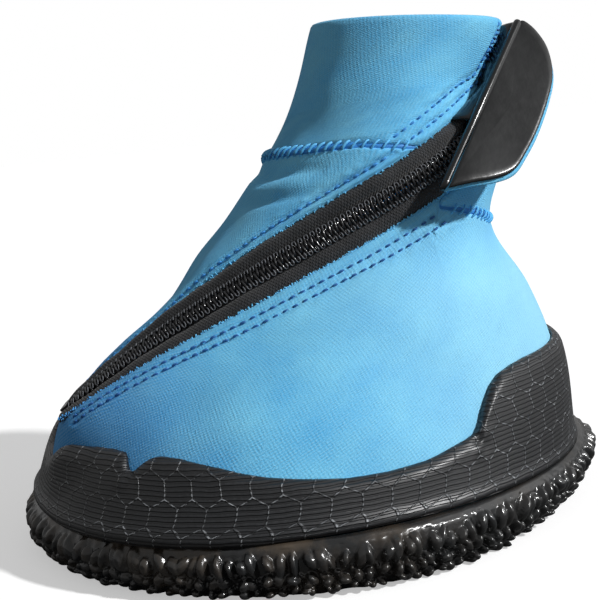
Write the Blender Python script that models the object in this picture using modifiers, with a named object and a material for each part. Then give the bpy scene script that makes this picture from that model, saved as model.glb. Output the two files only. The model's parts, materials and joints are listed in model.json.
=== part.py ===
"""Horse hoof boot: lugged outsole, rubber rand, neoprene upper with a spiral zip, and a closure tab.

The boot stands on the ground at the origin, toe towards -Y, heel towards +Y, its near side towards +X.
Angles round the boot start at the toe and grow towards the near side.
"""
import functools
import math

import bmesh
import bpy
import numpy as np
from mathutils import Matrix, Vector

MM = 0.001

# Outsole
SOLE_LENGTH = 164.0 * MM
SOLE_WIDTH = 156.0 * MM
SOLE_HEIGHT = 13.3 * MM
SHOULDER_RUN = 3.6 * MM
SHOULDER_DROP = 4.2 * MM
RIM_THICKNESS = 1.0 * MM
RIM_OVERHANG = 1.6 * MM
SOLE_ROUNDING = 0.7 * MM
SOLE_FLARE = 3.0 * MM
LUG_DEPTH = 2.6 * MM
LUG_PITCH = 13.0 * MM
TREAD_DEPTH = 4.0 * MM
TREAD_GROOVE = 4.5 * MM
TREAD_BLOCK = 25.0 * MM
SOLE_POINTS_PER_LUG = 4

# Plan outline of the boot
OUTLINE_POWER = 1.85
UPPER_POWER = 2.05
TOE_BREADTH_SHARE = 0.08

# Neoprene upper
UPPER_HEIGHT = 116.9 * MM
UPPER_LENGTH = 148.0 * MM
UPPER_WIDTH = 137.4 * MM
COLLAR_DIAMETER = 52.7 * MM
COLLAR_SETBACK = 41.2 * MM
TOE_SETBACK = 2.5 * MM
COLLAR_TILT = math.radians(5.0)
NEOPRENE = 4.0 * MM
KERF = 0.3 * MM
FIT_GAP = 0.3 * MM

# Sections of the upper, from the sole to the rim: height, setback, width, length and tilt,
# each as a share of the whole rise, setback, spread and tilt
SECTION_SHARES = (
    (0.000, 0.000, 1.000, 1.000, 0.00),
    (0.190, 0.126, 0.820, 0.878, 0.05),
    (0.360, 0.375, 0.564, 0.539, 0.10),
    (0.502, 0.431, 0.327, 0.304, 0.15),
    (0.649, 0.635, 0.165, 0.156, 0.25),
    (0.808, 0.851, 0.064, 0.060, 0.50),
    (1.000, 1.000, 0.000, 0.000, 1.00),
)

# Seam between the collar and the foot panels: angle in degrees and height as a share of the upper
COLLAR_SEAM_SHARES = (
    (-180, 0.525), (-145, 0.545), (-110, 0.600), (-70, 0.665), (-30, 0.705), (0, 0.715),
    (60, 0.727), (91, 0.710), (107, 0.580), (145, 0.532), (180, 0.525),
)

# Rand: thickness, and the height of its top edge by angle as a share of the heel counter's height
RAND_THICKNESS = 2.5 * MM
RAND_GAP = 1.0 * MM
HEEL_COUNTER_HEIGHT = 28.8 * MM
RAND_EDGE_SHARES = (
    (0, 0.45), (8, 0.48), (12.5, 0.56), (16, 0.65), (20, 0.69), (28, 0.68), (34, 0.66), (37.5, 0.52),
    (41, 0.62), (44, 0.65), (52, 0.60), (58, 0.56), (67, 0.48), (74, 0.44), (83, 0.40), (95, 0.41),
    (101, 0.45), (106, 0.50), (109, 0.53), (111, 0.71), (114, 0.87), (118, 0.96), (125, 1.0), (180, 1.0),
)

# Zip: a circular arc from the top stop, running on as a helix to the toe
ZIP_WIDTH = 13.5 * MM
ZIP_TOP_ASIDE = 9.3 * MM
ZIP_TOP_SETBACK = 60.4 * MM
ZIP_TOP_HEIGHT = 107.3 * MM
ZIP_HEADING = math.radians(-27.0)
ZIP_SLOPE = math.radians(-16.2)
ZIP_ROLL = math.radians(199.2)
ZIP_BAND_TILT = math.radians(9.9)
ZIP_ARC_RADIUS = 52.6 * MM
ZIP_ARC_LENGTH = 60.0 * MM
ZIP_HELIX_BEND = 221.0 * MM
ZIP_HELIX_TURN = 416.0 * MM
ZIP_TOE_HEIGHT = 24.5 * MM
TAPE_START = 12.0 * MM
CHAIN_START = 14.5 * MM
ZIP_EASE = 20.0 * MM
ZIP_FLAT_MARGIN = 4.0 * MM
RIM_FADE = 0.12
TAPE_THICKNESS = 1.0 * MM
TAPE_DROP = 0.7 * MM
CHAIN_WIDTH = 5.2 * MM
CHAIN_RISE = 0.3 * MM
CHAIN_DROP = 1.9 * MM
TOOTH_PITCH = 2.0 * MM
TOOTH_WIDTH = 0.65 * MM
TOOTH_OVERLAP = 1.6 * MM
TOOTH_RELIEF = 0.5 * MM
STOP_LENGTH = 2.2 * MM
STOP_RISE = 0.8 * MM

# Slider and its pull
SLIDER_LENGTH = 12.0 * MM
SLIDER_FRONT_WIDTH = 9.6 * MM
SLIDER_REAR_WIDTH = 8.6 * MM
SLIDER_PLATE = 0.9 * MM
SLIDER_CENTRE = 22.0 * MM
CROWN_LENGTH = 6.4 * MM
CROWN_WIDTH = 1.8 * MM
CROWN_WALL = 0.7 * MM
PULL_LENGTH = 11.0 * MM
PULL_WIDTH = 4.8 * MM
PULL_BAR = 0.7 * MM
PULL_CLEARANCE = 0.2 * MM

# Slit above the zip, and the closure tab on its front edge
SLIT_FRONT_ANGLE = math.radians(157.0)
SLIT_REAR_ANGLE = math.radians(181.0)
LINING_THICKNESS = 0.9 * MM
LINING_MARGIN = math.radians(10.0)
LINING_FOOT_SHARE = 0.84
LINING_HEAD_SHARE = 0.975
TAB_ROOT_RUN = 27.0 * MM
TAB_STANDOFF = 5.4 * MM
TAB_ROOT_DROP = 1.9 * MM
ROOT_FOOT_ANGLE = math.radians(122.0)
ROOT_HEAD_ANGLE = math.radians(153.0)
ROOT_BREADTH = math.radians(7.0)
ROOT_FOOT_SHARE = 0.855
ROOT_HEAD_SHARE = 0.985
TAB_OPEN_ANGLE = math.radians(45.0)
TAB_LENGTH = 63.0 * MM
TAB_BREADTH = 17.2 * MM
TAB_THICKNESS = 2.1 * MM
FACING_THICKNESS = 0.6 * MM
FACING_MARGIN = 1.1 * MM
# Tab outline: run along the root from the foot of the root edge, and reach from it
TAB_RUN_SHARES = (0.00, 0.07, 0.14, 0.22, 0.33, 0.47, 0.64, 0.78, 0.90, 0.97, 1.00, 0.99)
TAB_REACH_SHARES = (0.06, 0.37, 0.68, 0.90, 0.97, 1.00, 0.97, 0.88, 0.64, 0.35, 0.10, 0.00)
TAB_FOOT_SHARE = 0.43

# Inside
BOARD_THICKNESS = 2.0 * MM
FOOTBED_THICKNESS = 5.0 * MM

# Mesh detail
RING_POINTS = 60
RAND_POINTS = 100
RAND_ROWS = 3
COLLAR_ROWS = 7
FOOT_ROWS = 9
FOOT_OVERRUN_SHARE = 0.05
ZIP_STATIONS = 48
CUT_DEPTH = 14.0 * MM
CUT_OVERRUN = 6.0 * MM


def clear_scene():
    """Remove every object that the scene holds."""
    for obj in list(bpy.data.objects):
        bpy.data.objects.remove(obj, do_unlink=True)


def collection(name):
    """Make a collection and link it to the scene."""
    group = bpy.data.collections.new(name)
    bpy.context.scene.collection.children.link(group)
    return group


def material(name, colour, roughness, metallic=0.0):
    """Make a Principled material from a linear colour, a roughness and a metallic value."""
    made = bpy.data.materials.new(name)
    made.use_nodes = True
    shader = made.node_tree.nodes["Principled BSDF"]
    shader.inputs["Base Color"].default_value = (*colour, 1.0)
    shader.inputs["Roughness"].default_value = roughness
    shader.inputs["Metallic"].default_value = metallic
    return made


def smooth_rows(rows, places):
    """Read a table of evenly spaced rows at places from 0 to 1, along a Catmull-Rom curve."""
    table = np.asarray(rows, float)
    last = len(table) - 1
    at = np.asarray(places, float) * last
    low = np.clip(np.floor(at).astype(int), 0, last - 1)
    f = (at - low)[..., None]
    padded = np.vstack((2 * table[0] - table[1], table, 2 * table[-1] - table[-2]))
    a, b, c, d = (padded[low + k] for k in range(4))
    return 0.5 * (2 * b + (c - a) * f + (2 * a - 5 * b + 4 * c - d) * f ** 2 + (3 * (b - c) + d - a) * f ** 3)


def plan_unit(angle, power, breadth=0.0):
    """Unit outline of the boot in plan: across (near side positive) and along (toe positive)."""
    s, c = np.sin(angle), np.cos(angle)
    across = np.sign(s) * np.abs(s) ** (2 / power)
    along = np.sign(c) * np.abs(c) ** (2 / power)
    return across * (1 + breadth * c), along


def plain_surface(angle, rise):
    """Outer face of the neoprene before it is drawn to the zip, at an angle and a rise from 0 to 1."""
    angle, rise = np.broadcast_arrays(np.asarray(angle, float), np.asarray(rise, float))
    height, setback, width, length, tilt = np.moveaxis(smooth_rows(SECTION_SHARES, rise), -1, 0)
    breadth = TOE_BREADTH_SHARE * np.clip(1 - 1.3 * rise, 0, 1)
    across, along = plan_unit(angle, UPPER_POWER, breadth)
    half_width = (COLLAR_DIAMETER + width * (UPPER_WIDTH - COLLAR_DIAMETER)) / 2
    half_length = (COLLAR_DIAMETER + length * (UPPER_LENGTH - COLLAR_DIAMETER)) / 2
    reach = -half_length * along
    lean = COLLAR_TILT * tilt
    return np.stack((
        half_width * across,
        setback * COLLAR_SETBACK - TOE_SETBACK + reach * np.cos(lean),
        SOLE_HEIGHT + FIT_GAP + height * UPPER_HEIGHT - reach * np.sin(lean),
    ), -1)


def turned(vector, axis, angle):
    """Turn a vector about a unit axis."""
    return (vector * math.cos(angle) + np.cross(axis, vector) * math.sin(angle)
            + axis * axis.dot(vector) * (1 - math.cos(angle)))


def run_on(frame, bend, twist, length):
    """Carry a point and its frame along a curve of constant bend and twist."""
    point, along, inward, side = frame
    rate = math.hypot(bend, twist)
    axis = (twist * along + bend * side) / rate
    radius = bend / rate ** 2
    angle = rate * length
    moved = point + radius * inward - turned(radius * inward, axis, angle) + axis * twist / rate * length
    return moved, turned(along, axis, angle), turned(inward, axis, angle), turned(side, axis, angle)


def zip_start():
    """Point and frame at the upper end of the zip's track."""
    along = np.array((
        math.cos(ZIP_SLOPE) * math.cos(ZIP_HEADING),
        math.cos(ZIP_SLOPE) * math.sin(ZIP_HEADING),
        math.sin(ZIP_SLOPE),
    ))
    level = np.cross((0.0, 0.0, 1.0), along)
    level /= np.linalg.norm(level)
    inward = turned(level, along, ZIP_ROLL)
    point = np.array((ZIP_TOP_ASIDE, ZIP_TOP_SETBACK, ZIP_TOP_HEIGHT))
    return point, along, inward, np.cross(along, inward)


def zip_frame(station):
    """Centre of the zip at a station, with its directions along, across (upwards) and outwards."""
    frame = run_on(zip_start(), 1 / ZIP_ARC_RADIUS, 0.0, min(station, ZIP_ARC_LENGTH))
    if station > ZIP_ARC_LENGTH:
        twist = 2 * math.pi / ZIP_HELIX_TURN
        frame = run_on(frame, 1 / ZIP_HELIX_BEND, twist, station - ZIP_ARC_LENGTH)
    point, along, inward, side = frame
    across = math.cos(ZIP_BAND_TILT) * -side + math.sin(ZIP_BAND_TILT) * inward
    return point, along, across, np.cross(across, along)


@functools.lru_cache(maxsize=None)
def zip_end():
    """Station where the zip has come down to its height over the sole at the toe."""
    stations = np.linspace(0.0, 5 * ZIP_ARC_LENGTH, 301)
    heights = np.array([zip_frame(station)[0][2] for station in stations])
    low = int(heights.argmin())
    return float(np.interp(SOLE_HEIGHT + ZIP_TOE_HEIGHT, heights[low::-1], stations[low::-1]))


def zip_point(station, across, outward):
    """Point given by its station, its place across the zip and its height off the zip's face."""
    point, _, side, out = zip_frame(station)
    return point + across * side + outward * out


@functools.lru_cache(maxsize=None)
def zip_pulls():
    """Points over the zip's face, and the way each of them draws the plain surface to that face."""
    reach = ZIP_WIDTH / 2 + ZIP_FLAT_MARGIN
    places, outs = [], []
    for station in np.linspace(0.0, zip_end(), 2 * ZIP_STATIONS):
        point, _, side, out = zip_frame(station)
        for across in np.linspace(-reach, reach, 9):
            places.append(point + across * side)
            outs.append(out)
    places, outs = np.array(places), np.array(outs)
    angles, rises = np.meshgrid(ring_angles(160), np.linspace(0.0, 1.0, 90))
    skin = plain_surface(angles, rises)
    normals = np.cross(np.roll(skin, -1, 1) - np.roll(skin, 1, 1), np.gradient(skin, axis=0)).reshape(-1, 3)
    skin = skin.reshape(-1, 3)
    lifts = []
    for place, out in zip(places, outs):
        off = skin - place
        near = (np.linalg.norm(np.cross(off, out), axis=1) + 0.3 * np.abs(off @ out)).argmin()
        lifts.append(off[near] @ normals[near] / (out @ normals[near]))
    return places, -np.array(lifts)[:, None] * outs


def drawn_surface(angle, rise):
    """Outer face of the neoprene, drawn to the zip's face wherever the zip is near."""
    angle, rise = np.broadcast_arrays(np.asarray(angle, float), np.asarray(rise, float))
    points = plain_surface(angle, rise)
    flat = points.reshape(-1, 3)
    places, pulls = zip_pulls()
    gap = np.linalg.norm(flat[:, None] - places[None], axis=-1)
    least = gap.min(1, keepdims=True)
    share = np.exp((least ** 2 - gap ** 2) / (ZIP_WIDTH / 4) ** 2)
    pull = share @ pulls / share.sum(1, keepdims=True)
    close = 1 - np.clip(least / ZIP_EASE, 0, 1)
    fade = np.clip((1 - rise.reshape(-1, 1)) / RIM_FADE, 0, 1)
    return (flat + close * close * (3 - 2 * close) * fade * pull).reshape(points.shape)


def surface_normal(angle, rise):
    """Outward unit normal of the drawn surface."""
    small = 0.02
    round_step = drawn_surface(angle + small, rise) - drawn_surface(angle - small, rise)
    rise_step = drawn_surface(angle, rise + small) - drawn_surface(angle, rise - small)
    normal = np.cross(round_step, rise_step)
    return normal / np.linalg.norm(normal, axis=-1, keepdims=True)


def skin_point(angle, rise, outward):
    """Point at a height off the drawn surface."""
    return drawn_surface(angle, rise) + outward * surface_normal(angle, rise)


def rise_at(height):
    """Rise, from 0 to 1, at which the upper's sections reach a height over the sole."""
    rises = np.linspace(0.0, 1.0, 200)
    return np.interp(height / UPPER_HEIGHT, smooth_rows(SECTION_SHARES, rises)[:, 0], rises)


def mesh_object(name, build, group, look=None):
    """Make an object from a function that fills a bmesh."""
    bm = bmesh.new()
    build(bm)
    bmesh.ops.recalc_face_normals(bm, faces=bm.faces)
    mesh = bpy.data.meshes.new(name)
    bm.to_mesh(mesh)
    bm.free()
    made = bpy.data.objects.new(name, mesh)
    group.objects.link(made)
    if look:
        mesh.materials.append(look)
    return made


def loft(bm, rings, closed=True, capped=True):
    """Join rings of points into a skin, closed round the rings and capped at both ends if asked."""
    rows = [[bm.verts.new(p) for p in ring] for ring in rings]
    count = len(rows[0])
    for low, high in zip(rows, rows[1:]):
        for i in range(count if closed else count - 1):
            j = (i + 1) % count
            bm.faces.new((low[i], low[j], high[j], high[i]))
    if capped:
        bm.faces.new(reversed(rows[0]))
        bm.faces.new(rows[-1])
    return rows


def lofted(name, rings, group, look=None, closed=True, capped=True):
    """Make an object lofted through rings."""
    return mesh_object(name, lambda bm: loft(bm, rings, closed, capped), group, look)


def solidify(obj, thickness, offset):
    """Thicken an open surface."""
    mod = obj.modifiers.new("Thickness", "SOLIDIFY")
    mod.thickness = thickness
    mod.offset = offset
    mod.use_even_offset = True
    return mod


def cut(obj, cutter):
    """Cut one object with another, exactly."""
    mod = obj.modifiers.new("Cut " + cutter.name, "BOOLEAN")
    mod.operation = "DIFFERENCE"
    mod.solver = "EXACT"
    mod.object = cutter
    return mod


def hide_cutter(obj):
    """Show a cutter as a wire and keep it out of renders."""
    obj.hide_render = True
    obj.display_type = "WIRE"
    return obj


def ring_angles(count):
    """Angles round the boot, from the toe."""
    return np.linspace(0.0, 2 * math.pi, count, endpoint=False)


def sole_ring(angles, inset, height):
    """Ring of the sole's outline, drawn in by an inset that may change round the ring."""
    across, along = plan_unit(angles, OUTLINE_POWER, TOE_BREADTH_SHARE)
    x = (SOLE_WIDTH / 2 - inset) * across
    y = -(SOLE_LENGTH / 2 - inset) * along
    return np.stack((x, y, np.full(len(angles), height)), -1)


def make_outsole(parts, cutters, look):
    """Outsole: a smooth sloping shoulder over a side of lugs, with tread blocks underneath."""
    girth = math.pi * (SOLE_LENGTH + SOLE_WIDTH) / 2
    lugs = int(girth / LUG_PITCH)
    angles = ring_angles(lugs * SOLE_POINTS_PER_LUG)
    swell = np.tile((1.0, 0.0, 0.0, 1.0), lugs)
    rim = SOLE_HEIGHT - SHOULDER_DROP
    under = rim - RIM_THICKNESS
    lug_inset = RIM_OVERHANG + LUG_DEPTH * swell
    plain = np.zeros(len(angles))
    rings = (
        sole_ring(angles, SOLE_FLARE + lug_inset + SOLE_ROUNDING, 0.0),
        sole_ring(angles, SOLE_FLARE + lug_inset, SOLE_ROUNDING),
        sole_ring(angles, lug_inset, under - SOLE_ROUNDING),
        sole_ring(angles, plain, under),
        sole_ring(angles, plain, rim),
        sole_ring(angles, plain + SHOULDER_RUN, SOLE_HEIGHT),
    )
    sole = lofted("outsole", rings, parts, look)

    def bars(bm):
        """Crossed bars that cut the tread grooves."""
        for length, width, horizontal in ((SOLE_LENGTH, SOLE_WIDTH, False), (SOLE_WIDTH, SOLE_LENGTH, True)):
            pairs = int(width / 2 / TREAD_BLOCK)
            for k in range(-pairs, pairs):
                place = (k + 0.5) * TREAD_BLOCK
                made = bmesh.ops.create_cube(bm, size=1.0)
                size = (TREAD_GROOVE, length + CUT_OVERRUN, 2 * TREAD_DEPTH)
                centre = (place, 0.0, 0.0)
                if horizontal:
                    size, centre = (size[1], size[0], size[2]), (0.0, place, 0.0)
                bmesh.ops.scale(bm, vec=size, verts=made["verts"])
                bmesh.ops.translate(bm, vec=centre, verts=made["verts"])

    grooves = hide_cutter(mesh_object("tread_grooves", bars, cutters))
    cut(sole, grooves).use_self = True
    return sole


def edge_height(angle):
    """Height of the rand's top edge over the sole."""
    table = np.array(RAND_EDGE_SHARES)
    turn = np.degrees(np.abs((angle + math.pi) % (2 * math.pi) - math.pi))
    return HEEL_COUNTER_HEIGHT * np.interp(turn, table[:, 0], table[:, 1])


def make_rand(parts, look):
    """Rubber rand round the foot, high at the toe cap and the heel counter, with a notch between."""
    angles = ring_angles(RAND_POINTS)
    top = rise_at(edge_height(angles))
    rings = [skin_point(angles, top * k / RAND_ROWS, RAND_GAP) for k in range(RAND_ROWS + 1)]
    rings[0][:, 2] = SOLE_HEIGHT + FIT_GAP
    rand = lofted("rubber_rand", rings, parts, look, capped=False)
    solidify(rand, RAND_THICKNESS, 1.0)
    return rand


def make_insole(parts, board_look, bed_look):
    """Insole board on the outsole, and a soft footbed on the board."""
    angles = ring_angles(48)
    floor = SOLE_HEIGHT + FIT_GAP
    for name, base, thickness, look in (
        ("insole_board", 0.0, BOARD_THICKNESS, board_look),
        ("footbed", BOARD_THICKNESS + FIT_GAP, FOOTBED_THICKNESS, bed_look),
    ):
        rise = rise_at(base + thickness)
        level = surface_normal(angles, rise)
        level[:, 2] = 0.0
        slant = np.linalg.norm(level, axis=-1, keepdims=True)
        outline = drawn_surface(angles, rise) - (NEOPRENE + 3 * FIT_GAP) / slant ** 2 * level
        low, high = outline.copy(), outline.copy()
        low[:, 2] = floor + base
        high[:, 2] = floor + base + thickness
        lofted(name, (low, high), parts, look)


def slit_line(share):
    """Front and rear edge of the collar's slit and the direction outwards, from the zip to the rim."""
    half = ZIP_WIDTH / 2 + FIT_GAP
    start = TAPE_START - FIT_GAP
    top_front = drawn_surface(SLIT_FRONT_ANGLE, 1.0)
    top_rear = drawn_surface(SLIT_REAR_ANGLE, 1.0)
    middle = (SLIT_FRONT_ANGLE + SLIT_REAR_ANGLE) / 2
    out = (1 - share) * zip_frame(start)[3] + share * surface_normal(middle, 1.0)
    front = (1 - share) * zip_point(start, half, 0.0) + share * top_front
    rear = (1 - share) * zip_point(start, -half, 0.0) + share * top_rear
    return front, rear, out / np.linalg.norm(out)


def opening_cutter(cutters):
    """Solid that clears the slit from the rim down to the zip, and the zip's way on to the toe."""
    half = ZIP_WIDTH / 2 + FIT_GAP
    corners = ((-half, -CUT_DEPTH), (half, -CUT_DEPTH), (half, CUT_DEPTH), (-half, CUT_DEPTH))
    rings = []
    for share in (1.4, 1.0, 0.67, 0.33):
        front, rear, out = slit_line(share)
        deep = CUT_DEPTH * out
        rings.append((rear - deep, front - deep, front + deep, rear + deep))
    stations = np.linspace(TAPE_START - FIT_GAP, zip_end() + FIT_GAP, ZIP_STATIONS)
    rings += [[zip_point(s, a, h) for a, h in corners] for s in stations]
    return hide_cutter(lofted("zip_way", rings, cutters))


def seam_rise(angles):
    """Rise of the seam between the collar and the foot panels."""
    turn = np.degrees((angles + math.pi) % (2 * math.pi) - math.pi)
    table = np.array(COLLAR_SEAM_SHARES)
    return rise_at(UPPER_HEIGHT * np.interp(turn, table[:, 0], table[:, 1]))


def neoprene_shell(name, low, high, rows, cutters):
    """Closed wall of neoprene between two rises that may change round the boot."""
    angles = ring_angles(RING_POINTS)
    rises = [low + (high - low) * k / rows for k in range(rows + 1)]
    outer = [drawn_surface(angles, rise) for rise in rises]
    inner = [skin_point(angles, rise, -NEOPRENE) for rise in rises]

    def fill(bm):
        """Outer face up, inner face down, and both ends joined."""
        loft(bm, [*outer, *reversed(inner), outer[0]], capped=False)
        bmesh.ops.remove_doubles(bm, verts=bm.verts, dist=KERF / 100)

    return mesh_object(name, fill, cutters)


def wall_cutter(name, low, high, cutters):
    """Upright box between two corners."""
    def fill(bm):
        """Box between the corners."""
        made = bmesh.ops.create_cube(bm, size=1.0)
        bmesh.ops.scale(bm, vec=np.subtract(high, low), verts=made["verts"])
        bmesh.ops.translate(bm, vec=np.add(high, low) / 2, verts=made["verts"])
    return hide_cutter(mesh_object(name, fill, cutters))


def evaluated_bmesh(obj):
    """Bmesh of an object with its modifiers applied."""
    graph = bpy.context.evaluated_depsgraph_get()
    bm = bmesh.new()
    bm.from_mesh(obj.evaluated_get(graph).to_mesh())
    return bm


def islands(bm):
    """Lists of the vertices of each connected piece of a bmesh."""
    left, found = set(bm.verts), []
    while left:
        seed = left.pop()
        piece, front = [seed], [seed]
        while front:
            vert = front.pop()
            for edge in vert.link_edges:
                other = edge.other_vert(vert)
                if other in left:
                    left.remove(other)
                    piece.append(other)
                    front.append(other)
        found.append(piece)
    return found


def piece_object(name, bm, verts, group, look):
    """Object from one connected piece of a bmesh."""
    keep = set(verts)
    copy = bm.copy()
    copy.verts.ensure_lookup_table()
    bm.verts.index_update()
    drop = [copy.verts[v.index] for v in bm.verts if v not in keep]
    bmesh.ops.delete(copy, geom=drop, context="VERTS")
    mesh = bpy.data.meshes.new(name)
    copy.to_mesh(mesh)
    copy.free()
    mesh.materials.clear()
    mesh.materials.append(look)
    made = bpy.data.objects.new(name, mesh)
    group.objects.link(made)
    return made


def make_panels(parts, cutters, look):
    """Collar, and a foot cut at the heel and the toe into two panels, all open along the zip."""
    seam = seam_rise(ring_angles(RING_POINTS))
    half_kerf = KERF / 2 / UPPER_HEIGHT
    opening = opening_cutter(cutters)
    collar = neoprene_shell("collar_shell", seam + half_kerf, 0 * seam + 1.0, COLLAR_ROWS, cutters)
    cut(collar, opening)

    back = SOLE_LENGTH
    toe = zip_point(zip_end(), 0.0, 0.0)
    top = SOLE_HEIGHT + UPPER_HEIGHT
    foot = neoprene_shell("foot_shell", 0 * seam - FOOT_OVERRUN_SHARE, seam - half_kerf, FOOT_ROWS, cutters)
    heel_seam = wall_cutter("heel_seam", (-KERF / 2, 0.0, 0.0), (KERF / 2, back, top), cutters)
    toe_seam = wall_cutter("toe_seam", (toe[0] - KERF / 2, -back, 0.0), (toe[0] + KERF / 2, -back / 4, toe[2]), cutters)
    floor = wall_cutter("floor", (-back, -back, -back), (back, back, SOLE_HEIGHT + FIT_GAP), cutters)
    for cutter in (opening, heel_seam, toe_seam, floor):
        cut(foot, cutter)

    for shell, names in ((collar, ("collar",)), (foot, ("far_side_panel", "near_side_panel"))):
        bm = evaluated_bmesh(shell)
        found = sorted(islands(bm), key=lambda piece: sum(v.co.x for v in piece) / len(piece))
        if len(found) != len(names):
            raise ValueError(f"{shell.name} fell into {len(found)} pieces")
        for name, piece in zip(names, found):
            piece_object(name, bm, piece, parts, look)
        bm.free()
        bpy.data.objects.remove(shell, do_unlink=True)


def make_tapes(parts, look):
    """Two tapes of the zip, each between its chain and the neoprene's edge."""
    inner = CHAIN_WIDTH / 2 + FIT_GAP
    outer = ZIP_WIDTH / 2
    top, low = -TAPE_DROP, -TAPE_DROP - TAPE_THICKNESS
    stations = np.linspace(TAPE_START, zip_end(), ZIP_STATIONS)
    for name, side in (("zip_tape_upper", 1), ("zip_tape_lower", -1)):
        corners = ((side * inner, low), (side * outer, low), (side * outer, top), (side * inner, top))
        rings = [[zip_point(s, a, h) for a, h in corners] for s in stations]
        lofted(name, rings, parts, look)


def make_chain(name, side, parts, look):
    """One half of the zip's chain: a bead along the tape's edge with teeth that mesh with the other half."""
    root = TOOTH_OVERLAP / 2 + TOOTH_RELIEF
    outer = CHAIN_WIDTH / 2
    start = CHAIN_START + (TOOTH_PITCH / 2 if side < 0 else 0.0)
    end = zip_end() - STOP_LENGTH - FIT_GAP
    teeth = int((end - CHAIN_START) / TOOTH_PITCH) - 1
    stations = [CHAIN_START]
    for k in range(teeth):
        middle = start + (k + 0.5) * TOOTH_PITCH
        stations += [middle - TOOTH_WIDTH / 2, middle + TOOTH_WIDTH / 2]
    stations.append(end)
    corners = ((side * root, -CHAIN_DROP), (side * outer, -CHAIN_DROP), (side * outer, CHAIN_RISE),
               (side * root, CHAIN_RISE))

    def fill(bm):
        """Bead, then each tooth drawn out of its inner face."""
        rows = loft(bm, [[zip_point(s, a, h) for a, h in corners] for s in stations])
        bmesh.ops.recalc_face_normals(bm, faces=bm.faces)
        for k in range(teeth):
            low, high = rows[1 + 2 * k], rows[2 + 2 * k]
            face = bm.faces.get((low[3], low[0], high[0], high[3]))
            across = zip_frame((stations[1 + 2 * k] + stations[2 + 2 * k]) / 2)[2]
            made = bmesh.ops.extrude_face_region(bm, geom=[face])
            verts = [g for g in made["geom"] if isinstance(g, bmesh.types.BMVert)]
            bmesh.ops.delete(bm, geom=[face], context="FACES_ONLY")
            bmesh.ops.translate(bm, vec=-side * (TOOTH_OVERLAP + TOOTH_RELIEF) * across, verts=verts)

    return mesh_object(name, fill, parts, look)


def make_stops(parts, look):
    """Stops that end the chain: one on each half above the slider, and one across both at the toe."""
    gap = FIT_GAP
    inner = CHAIN_WIDTH / 2 - STOP_LENGTH
    top_end = CHAIN_START - gap
    places = (
        ("zip_top_stop_upper", TAPE_START, top_end, inner, CHAIN_WIDTH / 2),
        ("zip_top_stop_lower", TAPE_START, top_end, -CHAIN_WIDTH / 2, -inner),
        ("zip_bottom_stop", zip_end() - STOP_LENGTH, zip_end(), -CHAIN_WIDTH / 2, CHAIN_WIDTH / 2),
    )
    for name, start, end, low, high in places:
        corners = ((low, -CHAIN_DROP), (high, -CHAIN_DROP), (high, STOP_RISE), (low, STOP_RISE))
        rings = [[zip_point(s, a, h) for a, h in corners] for s in (start, (start + end) / 2, end)]
        lofted(name, rings, parts, look)


def turn_about(obj, point):
    """Put an object's origin on a point of its joint's axis, without moving its shape."""
    obj.data.transform(Matrix.Translation(-Vector(point)))
    obj.location = point
    return obj


def arc_centre():
    """Centre of the arc that the slider runs on."""
    point, _, inward, _ = zip_start()
    return point + ZIP_ARC_RADIUS * inward


def bar_room():
    """Half the height that the pull's bar needs to turn under the crown's bridge."""
    return PULL_BAR / math.sqrt(2) + PULL_CLEARANCE


def make_slider(parts, cutters, look):
    """Slider: a tapered cover over the chain with a lip down each side and a crown for the pull."""
    under = CHAIN_RISE + FIT_GAP
    top = under + SLIDER_PLATE
    foot = -TAPE_DROP + FIT_GAP
    start, end = SLIDER_CENTRE - SLIDER_LENGTH / 2, SLIDER_CENTRE + SLIDER_LENGTH / 2
    bore = CHAIN_WIDTH / 2 + FIT_GAP

    def section(station):
        """Cross-section of the cover at a station."""
        share = (station - start) / SLIDER_LENGTH
        half = (SLIDER_FRONT_WIDTH + share * (SLIDER_REAR_WIDTH - SLIDER_FRONT_WIDTH)) / 2
        crown = SLIDER_PLATE / 3
        return ((-half, foot), (-bore, foot), (-bore, under), (bore, under), (bore, foot), (half, foot),
                (half, top - crown), (half - crown, top), (-half + crown, top), (-half, top - crown))

    stations = np.linspace(start, end, 7)
    rings = [[zip_point(s, a, h) for a, h in section(s)] for s in stations]
    cover = lofted("zip_slider", rings, parts, look)

    base = top - SLIDER_PLATE / 2
    ceiling = top + 2 * bar_room()
    peak = ceiling + CROWN_WALL
    end, bend, inner = CROWN_LENGTH / 2, CROWN_LENGTH / 2 - CROWN_WALL / 2, CROWN_LENGTH / 2 - CROWN_WALL
    half = CROWN_WIDTH / 2
    outline = (
        (-end, base), (-end, ceiling), (-bend, peak), (bend, peak), (end, ceiling), (end, base),
        (inner, base), (inner, ceiling), (-inner, ceiling), (-inner, base),
    )
    point, along, across, out = zip_frame(SLIDER_CENTRE)
    rings = [[point + run * along + side * across + h * out for run, h in outline] for side in (-half, half)]
    crown = hide_cutter(lofted("crown_bridge", rings, cutters))
    mod = cover.modifiers.new("Crown", "BOOLEAN")
    mod.operation = "UNION"
    mod.solver = "EXACT"
    mod.object = crown
    return turn_about(cover, arc_centre())


def pull_pivot():
    """Place and frame of the pull's bar, under the crown's bridge."""
    point, along, across, out = zip_frame(SLIDER_CENTRE)
    height = CHAIN_RISE + FIT_GAP + SLIDER_PLATE + bar_room()
    return point + height * out, along, across, out


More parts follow.
